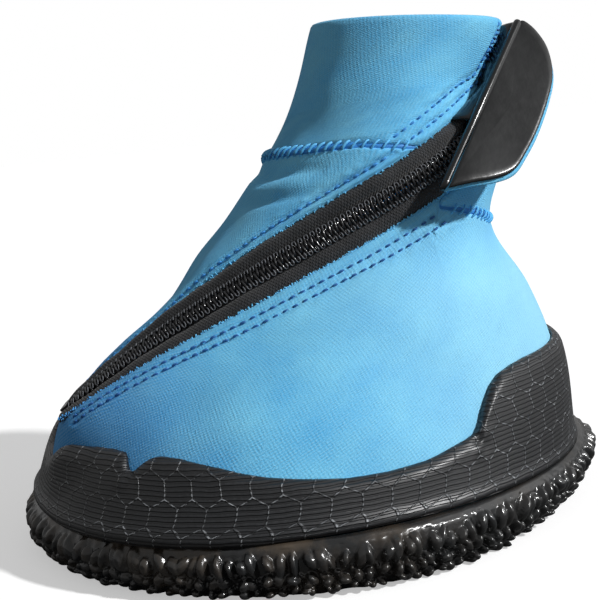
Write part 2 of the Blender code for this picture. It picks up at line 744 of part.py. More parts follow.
def make_pull(parts, look):
    """Pull: a flat tag with a window round the crown and a bar through it."""
    pivot, along, across, out = pull_pivot()
    window_half = CROWN_WIDTH / 2 + FIT_GAP
    window_end = math.hypot(CROWN_LENGTH / 2, bar_room() + CROWN_WALL) + FIT_GAP
    half = PULL_WIDTH / 2
    neck = window_half + PULL_BAR
    bar = PULL_BAR / 2
    outline = [(-bar, -neck), (-bar, neck), (window_end, neck), (window_end + PULL_BAR, half)]
    tip_start = PULL_LENGTH - half
    for k in range(7):
        angle = math.pi / 2 - math.pi * k / 6
        outline.append((tip_start + half * math.cos(angle), half * math.sin(angle)))
    outline += [(window_end + PULL_BAR, -half), (window_end, -neck)]
    window = [(bar, -window_half), (bar, window_half), (window_end, window_half), (window_end, -window_half)]

    def place(run, side, height):
        """Point of the tag, which lies up the zip from its bar."""
        return pivot - run * along + side * across + height * out

    def fill(bm):
        """Flat tag with its window, given a thickness."""
        loops = []
        for points in (outline, window):
            verts = [bm.verts.new(place(run, side, -PULL_BAR / 2)) for run, side in points]
            loops += [bm.edges.new((a, b)) for a, b in zip(verts, verts[1:] + verts[:1])]
        bmesh.ops.triangle_fill(bm, use_beauty=True, use_dissolve=False, edges=loops, normal=out)
        made = bmesh.ops.extrude_face_region(bm, geom=bm.faces[:])
        verts = [g for g in made["geom"] if isinstance(g, bmesh.types.BMVert)]
        bmesh.ops.translate(bm, vec=PULL_BAR * out, verts=verts)

    return turn_about(mesh_object("zip_pull", fill, parts, look), pivot)


def make_lining(parts, look):
    """Lining behind the slit, inside the collar."""
    angles = np.linspace(SLIT_FRONT_ANGLE - 3 * LINING_MARGIN, SLIT_REAR_ANGLE + LINING_MARGIN, 9)
    rises = np.linspace(LINING_FOOT_SHARE, LINING_HEAD_SHARE, 6)
    rings = [skin_point(angles, rise, -NEOPRENE - 3 * FIT_GAP) for rise in rises]
    strip = lofted("slit_lining", rings, parts, look, closed=False, capped=False)
    solidify(strip, LINING_THICKNESS, -1.0)
    return strip


def tab_frame():
    """Hinge line of the tab: its middle point, and directions along it, out of the boot and backwards."""
    foot = zip_point(TAB_ROOT_RUN, ZIP_WIDTH / 2, 0.0)
    head = drawn_surface(SLIT_FRONT_ANGLE, 1.0)
    along = head - foot
    along /= np.linalg.norm(along)
    out = surface_normal(math.radians(131.0), 0.87)
    out -= out.dot(along) * along
    out /= np.linalg.norm(out)
    back = np.cross(along, out)
    if back[1] < 0:
        back = -back
    return foot + TAB_STANDOFF * out, along, out, back


def tab_plane():
    """Frame of the open tab: a point on its hinge line, along it, its reach and its face."""
    foot, along, out, back = tab_frame()
    reach = math.cos(TAB_OPEN_ANGLE) * back + math.sin(TAB_OPEN_ANGLE) * out
    face = np.cross(along, reach)
    if face.dot(out) < 0:
        face = -face
    return foot, along, reach, face


def tab_outline(margin):
    """Outline of the tab in its own plane, drawn in by a margin."""
    runs = (np.array(TAB_RUN_SHARES) - TAB_FOOT_SHARE) * TAB_LENGTH
    reaches = np.array(TAB_REACH_SHARES) * TAB_BREADTH
    points = np.stack((runs, reaches), -1)
    middle = np.array(((0.5 - TAB_FOOT_SHARE) * TAB_LENGTH, TAB_BREADTH / 2))
    size = np.array((TAB_LENGTH, TAB_BREADTH))
    return middle + (points - middle) * (1 - 2 * margin / size)


def make_tab(parts, look, facing_look):
    """Closure tab, open as it stands, and the facing on its outer side."""
    foot, along, reach, face = tab_plane()
    total = TAB_THICKNESS + FIT_GAP + FACING_THICKNESS
    layers = (
        ("closure_tab", 0.0, -total / 2, TAB_THICKNESS, look),
        ("tab_facing", FACING_MARGIN, -total / 2 + TAB_THICKNESS + FIT_GAP, FACING_THICKNESS, facing_look),
    )
    for name, margin, base, thickness, skin in layers:
        outline = tab_outline(margin)
        rings = [[foot + run * along + d * reach + h * face for run, d in outline]
                 for h in (base, base + thickness)]
        turn_about(lofted(name, rings, parts, skin), foot)


def make_tab_root(parts, look):
    """Strip on the collar's front edge that carries the tab's hinge line."""
    foot, _, out, _ = tab_frame()
    height = foot @ out - TAB_ROOT_DROP
    rings = []
    for share in np.linspace(0.0, 1.0, 7):
        angle = (1 - share) * ROOT_FOOT_ANGLE + share * ROOT_HEAD_ANGLE
        rise = (1 - share) * ROOT_FOOT_SHARE + share * ROOT_HEAD_SHARE
        base = [skin_point(angle - turn, rise, 2 * FIT_GAP) for turn in (0.0, ROOT_BREADTH)]
        top = [point + max(height - point @ out, FIT_GAP) * out for point in base]
        rings.append((base[0], base[1], top[1], top[0]))
    return lofted("tab_root", rings, parts, look)


def shade(obj):
    """Shade a piece smooth, with its sharp edges kept."""
    obj.data.shade_smooth()
    obj.data.set_sharp_from_angle(angle=math.radians(35.0))


def main():
    """Build the boot."""
    clear_scene()
    parts = collection("hoof_boot")
    cutters = collection("cutters")
    sole_rubber = material("outsole_rubber", (0.020, 0.018, 0.017), 0.45)
    rand_rubber = material("rand_rubber", (0.024, 0.024, 0.026), 0.42)
    board = material("insole_board", (0.05, 0.05, 0.05), 0.9)
    foam = material("footbed_foam", (0.03, 0.03, 0.033), 0.95)
    neoprene = material("blue_neoprene", (0.10, 0.42, 0.78), 0.85)
    tape = material("zip_tape", (0.022, 0.022, 0.024), 0.9)
    coil = material("zip_chain", (0.016, 0.016, 0.018), 0.25)
    metal = material("zip_slider_lacquer", (0.014, 0.014, 0.015), 0.2)
    facing = material("tab_facing", (0.020, 0.020, 0.021), 0.5)

    make_outsole(parts, cutters, sole_rubber)
    make_rand(parts, rand_rubber)
    make_insole(parts, board, foam)
    make_panels(parts, cutters, neoprene)
    make_tapes(parts, tape)
    make_chain("zip_chain_upper", 1, parts, coil)
    make_chain("zip_chain_lower", -1, parts, coil)
    make_stops(parts, metal)
    make_lining(parts, tape)
    make_slider(parts, cutters, metal)
    make_pull(parts, metal)
    make_tab(parts, neoprene, facing)
    make_tab_root(parts, facing)
    for obj in parts.objects:
        if obj.type == "MESH":
            shade(obj)


if __name__ == "__main__":
    main()
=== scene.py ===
"""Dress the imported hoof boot: knit-faced neoprene, ribbed rand, knobbly outsole, coil zip and closure tab.

Lengths are in metres in the boot's own frame: toe towards -Y, near side towards +X, ground at z = 0.
Angles round the boot start at the toe and grow towards the near side. A rise is a share of the way from the
sole, at 0, to the rim, at 1. Texture coordinates are in millimetres.
"""
from __future__ import annotations

import functools
import json
import logging
import math
from dataclasses import dataclass
from enum import Enum
from typing import Iterable, Optional, Sequence

import bmesh
import bpy
import numpy as np
from mathutils import Matrix, Vector
from mathutils.kdtree import KDTree

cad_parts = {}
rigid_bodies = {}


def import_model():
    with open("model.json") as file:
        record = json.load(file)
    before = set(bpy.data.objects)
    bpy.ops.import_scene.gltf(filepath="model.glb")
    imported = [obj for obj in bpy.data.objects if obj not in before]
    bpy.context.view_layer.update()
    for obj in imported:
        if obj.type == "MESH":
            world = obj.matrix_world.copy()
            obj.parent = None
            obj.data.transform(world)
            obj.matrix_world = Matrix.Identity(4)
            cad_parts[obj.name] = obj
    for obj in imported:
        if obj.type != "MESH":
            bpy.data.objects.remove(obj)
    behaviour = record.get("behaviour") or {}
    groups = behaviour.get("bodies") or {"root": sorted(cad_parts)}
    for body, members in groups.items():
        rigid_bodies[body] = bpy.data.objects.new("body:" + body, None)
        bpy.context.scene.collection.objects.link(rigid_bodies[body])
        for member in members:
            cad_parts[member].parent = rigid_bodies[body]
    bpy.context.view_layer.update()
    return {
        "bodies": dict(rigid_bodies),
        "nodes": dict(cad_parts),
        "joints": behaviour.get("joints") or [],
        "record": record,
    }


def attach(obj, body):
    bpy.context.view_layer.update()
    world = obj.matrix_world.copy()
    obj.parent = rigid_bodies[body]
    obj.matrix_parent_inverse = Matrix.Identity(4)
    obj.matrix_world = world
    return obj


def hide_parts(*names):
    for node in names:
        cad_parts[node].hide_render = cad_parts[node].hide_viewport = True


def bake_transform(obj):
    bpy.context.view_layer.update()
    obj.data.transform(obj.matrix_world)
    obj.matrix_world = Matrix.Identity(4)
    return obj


LOG = logging.getLogger("hoof_boot")
MM = 0.001
Array = np.ndarray
Tree = bpy.types.NodeTree
Node = bpy.types.Node
Socket = bpy.types.NodeSocket
Material = bpy.types.Material
Object = bpy.types.Object
# Vertices and faces of a mesh, and the angles and rises of a line on the form
Shape = tuple[Array, list]
Line = tuple[Array, Array]


class Body(Enum):
    """Bodies that the new pieces ride on."""

    BOOT = "boot"
    TAB = "tab"


class Side(Enum):
    """Sides of the zip: towards the collar or towards the sole."""

    UPPER = 1
    LOWER = -1


# Colour and node helpers


def linear(code: str) -> tuple[float, float, float, float]:
    """Turn an sRGB hex value into a linear colour.

    Args:
        code: colour such as "#4a90d9".

    Returns:
        Linear red, green, blue and an alpha of 1.
    """
    parts = [int(code[i:i + 2], 16) / 255 for i in (1, 3, 5)]
    return (*[c / 12.92 if c <= 0.04045 else ((c + 0.055) / 1.055) ** 2.4 for c in parts], 1.0)


def feed(node: Node, inputs: dict) -> Node:
    """Set or link the inputs of a node.

    Args:
        node: node to feed.
        inputs: input name or index to a value, a socket, or a node whose first output in use is linked.

    Returns:
        The same node.
    """
    for key, value in inputs.items():
        if isinstance(value, Node):
            value = next(socket for socket in value.outputs if socket.enabled)
        if isinstance(value, Socket):
            node.id_data.links.new(value, node.inputs[key])
        else:
            node.inputs[key].default_value = value
    return node


def add(tree: Tree, kind: str, inputs: Optional[dict] = None, **settings: object) -> Node:
    """Add a node with its settings, input values and links.

    Args:
        tree: node tree that gets the node.
        kind: node type without its "ShaderNode" prefix.
        inputs: what its inputs are fed.
        settings: attributes of the node.

    Returns:
        The new node.
    """
    node = tree.nodes.new("ShaderNode" + kind)
    for key, value in settings.items():
        setattr(node, key, value)
    return feed(node, inputs or {})


def ripple(tree: Tree, place: Node | Socket, direction: tuple[float, float], period: float) -> Node:
    """Sine wave over the texture coordinates.

    Args:
        tree: material's node tree.
        place: texture coordinates in millimetres.
        direction: unit direction in which the wave runs.
        period: wavelength in millimetres.

    Returns:
        Node whose output runs from -1 to 1.
    """
    turn = 2 * math.pi / period
    run = add(tree, "VectorMath", {0: place, 1: (direction[0] * turn, direction[1] * turn, 0.0)},
              operation="DOT_PRODUCT")
    return add(tree, "Math", {0: run}, operation="SINE")


def start_material(name: str) -> tuple[Material, Tree, Node]:
    """Make a material that holds one Principled shader.

    Args:
        name: material name.

    Returns:
        The material, its tree and its shader node.
    """
    made = bpy.data.materials.new(name)
    made.use_nodes = True
    return made, made.node_tree, made.node_tree.nodes["Principled BSDF"]


# Number helpers


def smooth_rows(rows: Sequence[Sequence[float]], places: Array) -> Array:
    """Read a table of evenly spaced rows along a Catmull-Rom curve.

    Args:
        rows: table rows.
        places: where to read, from 0 to 1.

    Returns:
        One row of values for each place.
    """
    table = np.asarray(rows, float)
    last = len(table) - 1
    at = np.asarray(places, float) * last
    low = np.clip(np.floor(at).astype(int), 0, last - 1)
    f = (at - low)[..., None]
    padded = np.vstack((2 * table[0] - table[1], table, 2 * table[-1] - table[-2]))
    a, b, c, d = (padded[low + k] for k in range(4))
    return 0.5 * (2 * b + (c - a) * f + (2 * a - 5 * b + 4 * c - d) * f ** 2 + (3 * (b - c) + d - a) * f ** 3)


def turned(vector: Array, axis: Array, angle: float) -> Array:
    """Turn a vector about a unit axis.

    Args:
        vector: vector to turn.
        axis: unit axis.
        angle: angle in radians.

    Returns:
        The turned vector.
    """
    return (vector * math.cos(angle) + np.cross(axis, vector) * math.sin(angle)
            + axis * axis.dot(vector) * (1 - math.cos(angle)))


def unit(vectors: Array) -> Array:
    """Vectors scaled to length 1."""
    return vectors / np.maximum(np.linalg.norm(vectors, axis=-1, keepdims=True), 1e-12)


def bell(values: Array | float, width: float) -> Array:
    """Bell curve of height 1 about zero."""
    return np.exp(-(values / width) ** 2)


def soft_noise(points: Array, size: float, seed: int, waves: int = 7) -> Array:
    """Smooth noise made of a few plane waves.

    Args:
        points: places, with three numbers in the last axis.
        size: rough size of a bump in metres.
        seed: seed of the wave directions.
        waves: number of waves.

    Returns:
        Values of about -1 to 1.
    """
    rng = np.random.default_rng(seed)
    total = np.zeros(points.shape[:-1])
    for _ in range(waves):
        direction = rng.normal(size=3)
        direction *= math.pi / size / np.linalg.norm(direction) * rng.uniform(0.6, 1.4)
        total += np.sin(points @ direction + rng.uniform(0, 2 * math.pi))
    return total / math.sqrt(waves)


def search_tree(points: Array) -> KDTree:
    """Put points in a search tree.

    Args:
        points: one point per row.

    Returns:
        The tree, whose indices are the rows.
    """
    tree = KDTree(len(points))
    for i, point in enumerate(points):
        tree.insert(point, i)
    tree.balance()
    return tree


# The boot's form


@dataclass(frozen=True)
class ZipTrack:
    """Line that the zip follows: a circular arc from the top stop, then a twisting curve to the toe."""

    top: tuple[float, float, float] = (9.3 * MM, 60.4 * MM, 107.3 * MM)
    heading: float = math.radians(-27.0)
    slope: float = math.radians(-16.2)
    roll: float = math.radians(199.2)
    band_tilt: float = math.radians(9.9)
    arc_radius: float = 52.6 * MM
    arc_length: float = 60.0 * MM
    helix_bend: float = 221.0 * MM
    helix_turn: float = 416.0 * MM
    tape_start: float = 12.0 * MM
    chain_start: float = 14.5 * MM
    width: float = 13.5 * MM
    toe_height: float = 37.8 * MM

    @staticmethod
    def _carry(frame: tuple, bend: float, twist: float, length: float) -> tuple:
        """Carry a point and its frame along a curve of constant bend and twist.

        Args:
            frame: point, and directions along, inwards and to the side.
            bend: curvature.
            twist: torsion.
            length: how far to go.

        Returns:
            The frame at the far end.
        """
        point, along, inward, side = frame
        rate = math.hypot(bend, twist)
        axis = (twist * along + bend * side) / rate
        radius, angle = bend / rate ** 2, rate * length
        moved = point + radius * inward - turned(radius * inward, axis, angle) + axis * twist / rate * length
        return moved, turned(along, axis, angle), turned(inward, axis, angle), turned(side, axis, angle)

    @functools.lru_cache(maxsize=None)
    def frame(self, station: float) -> tuple[Array, Array, Array, Array]:
        """Centre of the zip and its directions.

        Args:
            station: distance along the zip from its upper end.

        Returns:
            Point, and directions along, across (towards the collar) and outwards.
        """
        along = np.array((math.cos(self.slope) * math.cos(self.heading),
                          math.cos(self.slope) * math.sin(self.heading), math.sin(self.slope)))
        level = np.cross((0.0, 0.0, 1.0), along)
        inward = turned(level / np.linalg.norm(level), along, self.roll)
        frame = (np.array(self.top), along, inward, np.cross(along, inward))
        frame = self._carry(frame, 1 / self.arc_radius, 0.0, min(station, self.arc_length))
        if station > self.arc_length:
            frame = self._carry(frame, 1 / self.helix_bend, 2 * math.pi / self.helix_turn,
                                station - self.arc_length)
        point, along, inward, side = frame
        across = math.sin(self.band_tilt) * inward - math.cos(self.band_tilt) * side
        return point, along, across, np.cross(across, along)

    def place(self, station: float, across: float, outward: float) -> Array:
        """Point at a station, a place across the zip and a height off its face."""
        point, _, side, out = self.frame(float(station))
        return point + across * side + outward * out

    @functools.cached_property
    def end(self) -> float:
        """Station where the zip has come down to its height at the toe.

        Returns:
            Distance along the zip.
        """
        stations = np.linspace(0.0, 5 * self.arc_length, 301)
        heights = np.array([self.frame(float(s))[0][2] for s in stations])
        low = int(heights.argmin())
        return float(np.interp(self.toe_height, heights[low::-1], stations[low::-1]))


@dataclass(frozen=True)
class BootForm:
    """Outer face of the neoprene: sections from the sole to the rim, drawn to the zip's face."""

    track: ZipTrack = ZipTrack()
    floor: float = 13.6 * MM
    height: float = 116.9 * MM
    length: float = 148.0 * MM
    width: float = 137.4 * MM
    collar: float = 52.7 * MM
    setback: float = 41.2 * MM
    toe_setback: float = 2.5 * MM
    tilt: float = math.radians(5.0)
    power: float = 2.05
    breadth: float = 0.08
    # Rate at which the toe's extra breadth fades as the face rises
    breadth_fade: float = 1.3
    ease: float = 20.0 * MM
    flat_margin: float = 4.0 * MM
    rim_fade: float = 0.12
    # Height, setback, width, length and tilt of each section, as shares
    sections: tuple = (
        (0.000, 0.000, 1.000, 1.000, 0.00), (0.190, 0.126, 0.820, 0.878, 0.05),
        (0.360, 0.375, 0.564, 0.539, 0.10), (0.502, 0.431, 0.327, 0.304, 0.15),
        (0.649, 0.635, 0.165, 0.156, 0.25), (0.808, 0.851, 0.064, 0.060, 0.50),
        (1.000, 1.000, 0.000, 0.000, 1.00),
    )
    # Angle in degrees and share of the height along the collar's seam
    seam: tuple = (
        (-180, 0.525), (-145, 0.545), (-110, 0.600), (-70, 0.665), (-30, 0.705), (0, 0.715),
        (60, 0.727), (91, 0.710), (107, 0.580), (145, 0.532), (180, 0.525),
    )

    @staticmethod
    def plan_unit(angle: Array, power: float, breadth: Array | float) -> Line:
        """Unit outline of the boot in plan.

        Args:
            angle: angles round the boot.
            power: power of the rounded outline, where 2 is an ellipse.
            breadth: share by which the toe is broader than the heel.

        Returns:
            Places across and along, with the toe positive.
        """
        s, c = np.sin(angle), np.cos(angle)
        across = np.sign(s) * np.abs(s) ** (2 / power)
        return across * (1 + breadth * c), np.sign(c) * np.abs(c) ** (2 / power)

    def plain(self, angle: Array, rise: Array) -> Array:
        """Face before it is drawn to the zip.

        Args:
            angle: angles round the boot.
            rise: rises.

        Returns:
            Points.
        """
        angle, rise = np.broadcast_arrays(np.asarray(angle, float), np.asarray(rise, float))
        height, setback, width, length, tilt = np.moveaxis(smooth_rows(self.sections, rise), -1, 0)
        breadth = self.breadth * np.clip(1 - self.breadth_fade * rise, 0, 1)
        across, along = self.plan_unit(angle, self.power, breadth)
        half_width = (self.collar + width * (self.width - self.collar)) / 2
        reach = -(self.collar + length * (self.length - self.collar)) / 2 * along
        lean = self.tilt * tilt
        return np.stack((half_width * across,
                         setback * self.setback - self.toe_setback + reach * np.cos(lean),
                         self.floor + height * self.height - reach * np.sin(lean)), -1)

    @functools.cached_property
    def pulls(self) -> tuple[Array, Array]:
        """How the zip's face draws the plain surface to itself.

        Returns:
            Points over the zip's face, and the way that each draws the surface.
        """
        reach = self.track.width / 2 + self.flat_margin
        slant_weight = 0.3
        places, outs = [], []
        for station in np.linspace(0.0, self.track.end, 96):
            point, _, side, out = self.track.frame(float(station))
            for across in np.linspace(-reach, reach, 9):
                places.append(point + across * side)
                outs.append(out)
        places, outs = np.array(places), np.array(outs)
        angles, rises = np.meshgrid(np.linspace(0, 2 * math.pi, 160, endpoint=False),
                                    np.linspace(0.0, 1.0, 90))
        skin = self.plain(angles, rises)
        along = np.roll(skin, -1, 1) - np.roll(skin, 1, 1)
        normals = np.cross(along, np.gradient(skin, axis=0)).reshape(-1, 3)
        skin = skin.reshape(-1, 3)
        lifts = []
        for place, out in zip(places, outs):
            off = skin - place
            aside = np.linalg.norm(np.cross(off, out), axis=1)
            near = (aside + slant_weight * np.abs(off @ out)).argmin()
            lifts.append(off[near] @ normals[near] / (out @ normals[near]))
        return places, -np.array(lifts)[:, None] * outs

    def face(self, angle: Array, rise: Array) -> Array:
        """Outer face of the neoprene, drawn to the zip's face wherever the zip is near.

        Args:
            angle: angles round the boot.
            rise: rises.

        Returns:
            Points.
        """
        angle, rise = np.broadcast_arrays(np.asarray(angle, float), np.asarray(rise, float))
        points = self.plain(angle, rise)
        flat = points.reshape(-1, 3).copy()
        fade = np.clip((1 - rise.reshape(-1, 1)) / self.rim_fade, 0, 1)
        places, pulls = self.pulls
        # Blocks of points keep the table of distances small
        block = 6000
        for start in range(0, len(flat), block):
            part = slice(start, start + block)
            gap = np.sqrt(np.maximum((flat[part] ** 2).sum(1)[:, None] + (places ** 2).sum(1)
                                     - 2 * flat[part] @ places.T, 0))
            least = gap.min(1, keepdims=True)
            share = np.exp((least ** 2 - gap ** 2) / (self.track.width / 4) ** 2)
            close = 1 - np.clip(least / self.ease, 0, 1)
            flat[part] += (close * close * (3 - 2 * close) * fade[part]
                           * (share @ pulls / share.sum(1, keepdims=True)))
        return flat.reshape(points.shape)

    def normal(self, angle: Array, rise: Array) -> Array:
        """Outward unit normal of the face.

        Args:
            angle: angles round the boot.
            rise: rises.

        Returns:
            Normals.
        """
        small = 0.01
        normal = np.cross(self.face(angle + small, rise) - self.face(angle - small, rise),
                          self.face(angle, rise + small) - self.face(angle, rise - small))
        return normal / np.linalg.norm(normal, axis=-1, keepdims=True)

    def skin(self, angle: Array, rise: Array, outward: Array | float) -> Array:
        """Points at a height off the face."""
        return self.face(angle, rise) + np.asarray(outward)[..., None] * self.normal(angle, rise)

    def rise_at(self, height: Array) -> Array:
        """Rise at which the sections reach a height over the floor of the upper."""
        rises = np.linspace(0.0, 1.0, 300)
        return np.interp(np.asarray(height) / self.height, smooth_rows(self.sections, rises)[:, 0], rises)

    def seam_rise(self, angle: Array) -> Array:
        """Rise of the seam between the collar and the foot panels.

        Args:
            angle: angles round the boot.

        Returns:
            Rises.
        """
        turn = np.degrees((np.asarray(angle) + math.pi) % (2 * math.pi) - math.pi)
        table = np.array(self.seam)
        return self.rise_at(self.height * np.interp(turn, table[:, 0], table[:, 1]))

    @functools.cached_property
    def _index(self) -> tuple[KDTree, Array, Array]:
        """Dense points of the face in a search tree.

        Returns:
            The tree, and the angles and rises of its points.
        """
        angles, rises = np.meshgrid(np.linspace(-math.pi, math.pi, 480, endpoint=False),
                                    np.linspace(0, 1, 200))
        return search_tree(self.face(angles, rises).reshape(-1, 3)), angles.ravel(), rises.ravel()

    def locate(self, points: Array) -> Line:
        """Find the face's points nearest to given points.

        Args:
            points: points near the face, one per row.

        Returns:
            Their angles and rises.
        """
        tree, angles, rises = self._index
        near = [tree.find(point)[1] for point in points]
        angle, rise = angles[near].copy(), rises[near].copy()
        small, most = 0.004, 0.05
        for _ in range(3):
            at = self.face(angle, rise)
            by_angle = (self.face(angle + small, rise) - at) / small
            by_rise = (self.face(angle, rise + small) - at) / small
            off = points - at
            aa, bb, ab = (by_angle ** 2).sum(1), (by_rise ** 2).sum(1), (by_angle * by_rise).sum(1)
            ao, bo = (by_angle * off).sum(1), (by_rise * off).sum(1)
            base = aa * bb - ab * ab
            angle = angle + np.clip((ao * bb - bo * ab) / base, -most, most)
            rise = rise + np.clip((bo * aa - ao * ab) / base, -most, most)
        return angle, rise


@dataclass(frozen=True)
class Openings:
    """Edges of the neoprene along the zip and the slit above it."""

    form: BootForm
    half: float = 6.75 * MM
    front_angle: float = math.radians(157.0)
    rear_angle: float = math.radians(181.0)
    steps: int = 120

    def line(self, side: Side, offset: float = 0.0) -> Line:
        """Line along an edge of the opening, from the toe end to the rim.

        Args:
            side: upper or lower edge.
            offset: distance from the edge into the neoprene.

        Returns:
            Angles and rises of the line's points.
        """
        track = self.form.track
        across = side.value * (self.half + offset)
        stations = np.linspace(track.end, track.tape_start, self.steps)
        points = [track.place(s, across, 0.0) for s in stations]
        head = self.front_angle if side is Side.UPPER else self.rear_angle
        top = self.form.face(np.array(head - side.value * offset / (self.form.collar / 2)), np.array(1.0))
        last = points[-1]
        points += [last + (top - last) * share for share in np.linspace(0, 1, self.steps // 4)[1:]]
        angle, rise = self.form.locate(np.array(points))
        angle = np.where(angle < -math.pi / 2, angle + 2 * math.pi, angle)
        rise[-1] = 1.0
        return angle, rise

    @functools.cached_property
    def edges(self) -> dict[Side, Line]:
        """The edges: the upper bounds the far panel and the collar's front, the lower the other two."""
        return {side: self.line(side) for side in Side}

    def crossing(self, side: Side) -> int:
        """Index on an edge where it meets the collar's seam."""
        angle, rise = self.edges[side]
        return int(np.argmax(rise > self.form.seam_rise(angle)))


# Mesh helpers


def show(name: str, data: bpy.types.ID) -> Object:
    """Make an object and link it to the scene.

    Args:
        name: object name.
        data: its mesh, lamp or camera.

    Returns:
        The object.
    """
    made = bpy.data.objects.new(name, data)
    bpy.context.scene.collection.objects.link(made)
    return made


def mesh_piece(name: str, verts: Array, faces: Iterable[Sequence[int]], uv: Optional[Array] = None) -> Object:
    """Make an object from vertices, faces and texture coordinates.

    Args:
        name: object name.
        verts: vertex positions.
        faces: vertex indices of each face.
        uv: texture coordinates of each vertex, in millimetres.

    Returns:
        The linked object, shaded smooth, with its faces turned outwards.
    """
    mesh = bpy.data.meshes.new(name)
    mesh.from_pydata(np.asarray(verts, float).tolist(), [], [list(map(int, f)) for f in faces])
    if uv is not None:
        layer = mesh.uv_layers.new(name="fabric")
        index = np.zeros(len(mesh.loops), np.int32)
        mesh.loops.foreach_get("vertex_index", index)
        layer.data.foreach_set("uv", np.asarray(uv, np.float32)[index].ravel())
    bm = bmesh.new()
    bm.from_mesh(mesh)
    bmesh.ops.recalc_face_normals(bm, faces=bm.faces)
    for face in bm.faces:
        face.smooth = True
    bm.to_mesh(mesh)
    bm.free()
    return show(name, mesh)


def ring_cells(index: Array) -> Array:
    """Faces of a grid whose rows close on themselves.

    Args:
        index: indices of the grid's points, by row and column.

    Returns:
        Corner indices of each face, by row and column.
    """
    right = np.roll(index, -1, 1)
    return np.stack((index[:-1], right[:-1], right[1:], index[1:]), -1)


def capped(loops: Array) -> Shape:
    """Solid through a stack of closed loops, with the first and the last filled in.

    Args:
        loops: points by loop and place on the loop.

    Returns:
        Vertices and faces.
    """
    rows, columns = loops.shape[:2]
    index = np.arange(rows * columns).reshape(rows, columns)
    cells = ring_cells(index).reshape(-1, 4).tolist()
    return loops.reshape(-1, 3), [*cells, index[0].tolist(), index[-1].tolist()]


def grid_normals(grid: Array, closed: bool) -> Array:
    """Unit normals of a grid of points.

    Args:
        grid: rows of points.
        closed: whether each row closes on itself.

    Returns:
        Normals, along the cross product of the row and column directions.
    """
    along = np.roll(grid, -1, 1) - np.roll(grid, 1, 1) if closed else np.gradient(grid, axis=1)
    return unit(np.cross(along, np.gradient(grid, axis=0)))


def arc_uv(grid: Array, reference: int) -> Array:
    """Texture coordinates that keep real lengths along rows and columns.

    Args:
        grid: rows of points.
        reference: column from which lengths along the rows are counted.

    Returns:
        Coordinates in millimetres for each point.
    """
    along = np.concatenate((np.zeros((grid.shape[0], 1)),
                            np.linalg.norm(np.diff(grid, axis=1), axis=-1).cumsum(1)), 1)
    up = np.concatenate((np.zeros((1, grid.shape[1])),
                         np.linalg.norm(np.diff(grid, axis=0), axis=-1).cumsum(0)), 0)
    return np.stack((along - along[:, reference:reference + 1], up), -1) / MM


@dataclass
class Wall:
    """Solid wall of fabric or rubber over a grid of points, with rounded edges."""

    name: str
    grid: Array
    thickness: float
    rounding: float
    uv: Array
    closed: bool = False
    mask: Optional[Array] = None
    relief: Optional[Array] = None

    def _cells(self) -> Array:
        """Corner indices of the grid cells that are kept.

        Returns:
            Four indices for each cell.
        """
        rows, columns = self.grid.shape[:2]
        cells = ring_cells(np.arange(rows * columns).reshape(rows, columns))
        if not self.closed:
            cells = cells[:, :-1]
        keep = np.ones(cells.shape[:2], bool) if self.mask is None else self.mask
        return cells[keep]

    def build(self) -> Object:
        """Make the wall's object.

        Returns:
            A closed solid whose outer face is the grid, with its relief.
        """
        cells = self._cells()
        points = self.grid.reshape(-1, 3)
        count = len(points)
        normals = grid_normals(self.grid, self.closed).reshape(-1, 3)
        edges = np.sort(np.concatenate([cells[:, [k, (k + 1) % 4]] for k in range(4)]), 1)
        pairs, seen = np.unique(edges, axis=0, return_counts=True)
        border = np.unique(pairs[seen == 1])
        used = np.unique(cells)
        tree = search_tree(points[border])
        near = np.zeros(count)
        near[used] = [tree.find(points[i])[2] for i in used]
        inner = np.clip(near / self.rounding, 0, 1)
        drop = (1 - np.sqrt(1 - (1 - inner) ** 2)) * self.thickness / 2
        lift = np.zeros(count) if self.relief is None else self.relief.ravel() * inner
        outer = points + (lift - drop)[:, None] * normals
        back = points + (np.minimum(lift, 0) + drop - self.thickness)[:, None] * normals
        back_index = np.arange(count) + count
        back_index[border] = border
        verts = np.concatenate((outer, back))
        faces = np.concatenate((cells, back_index[cells][:, ::-1]))
        uv = np.tile(self.uv.reshape(-1, 2), (2, 1))
        kept, packed = np.unique(faces, return_inverse=True)
        return mesh_piece(self.name, verts[kept], packed.reshape(faces.shape), uv[kept])


def tube(path: Array, sides: int, radius: Array | float, guide: Optional[Array] = None) -> Shape:
    """Round tube along a path, with capped ends.

    Args:
        path: points of the centre line.
        sides: points round the tube.
        radius: one radius, or one for each point.
        guide: direction at each point that the rings start from.

    Returns:
        Vertices and faces.
    """
    along = unit(np.gradient(path, axis=0))
    if guide is None:
        guide = np.tile((0.3, 0.2, 0.93), (len(path), 1))
    first = unit(np.cross(along, guide))
    second = np.cross(along, first)
    turn = np.linspace(0, 2 * math.pi, sides, endpoint=False)[None, :, None]
    radius = np.broadcast_to(radius, len(path))[:, None, None]
    rings = path[:, None] + (np.cos(turn) * first[:, None] + np.sin(turn) * second[:, None]) * radius
    verts, faces = capped(rings)
    # The first cap is wound the other way round from the last
    faces[-2].reverse()
    return verts, faces


def merged(parts: Sequence[Shape]) -> Shape:
    """Join several sets of vertices and faces into one.

    Args:
        parts: vertices and faces of each part.

    Returns:
        All vertices and all faces.
    """
    verts, faces, base = [], [], 0
    for points, cells in parts:
        verts.append(points)
        faces.extend([i + base for i in cell] for cell in cells)
        base += len(points)
    return np.concatenate(verts), faces


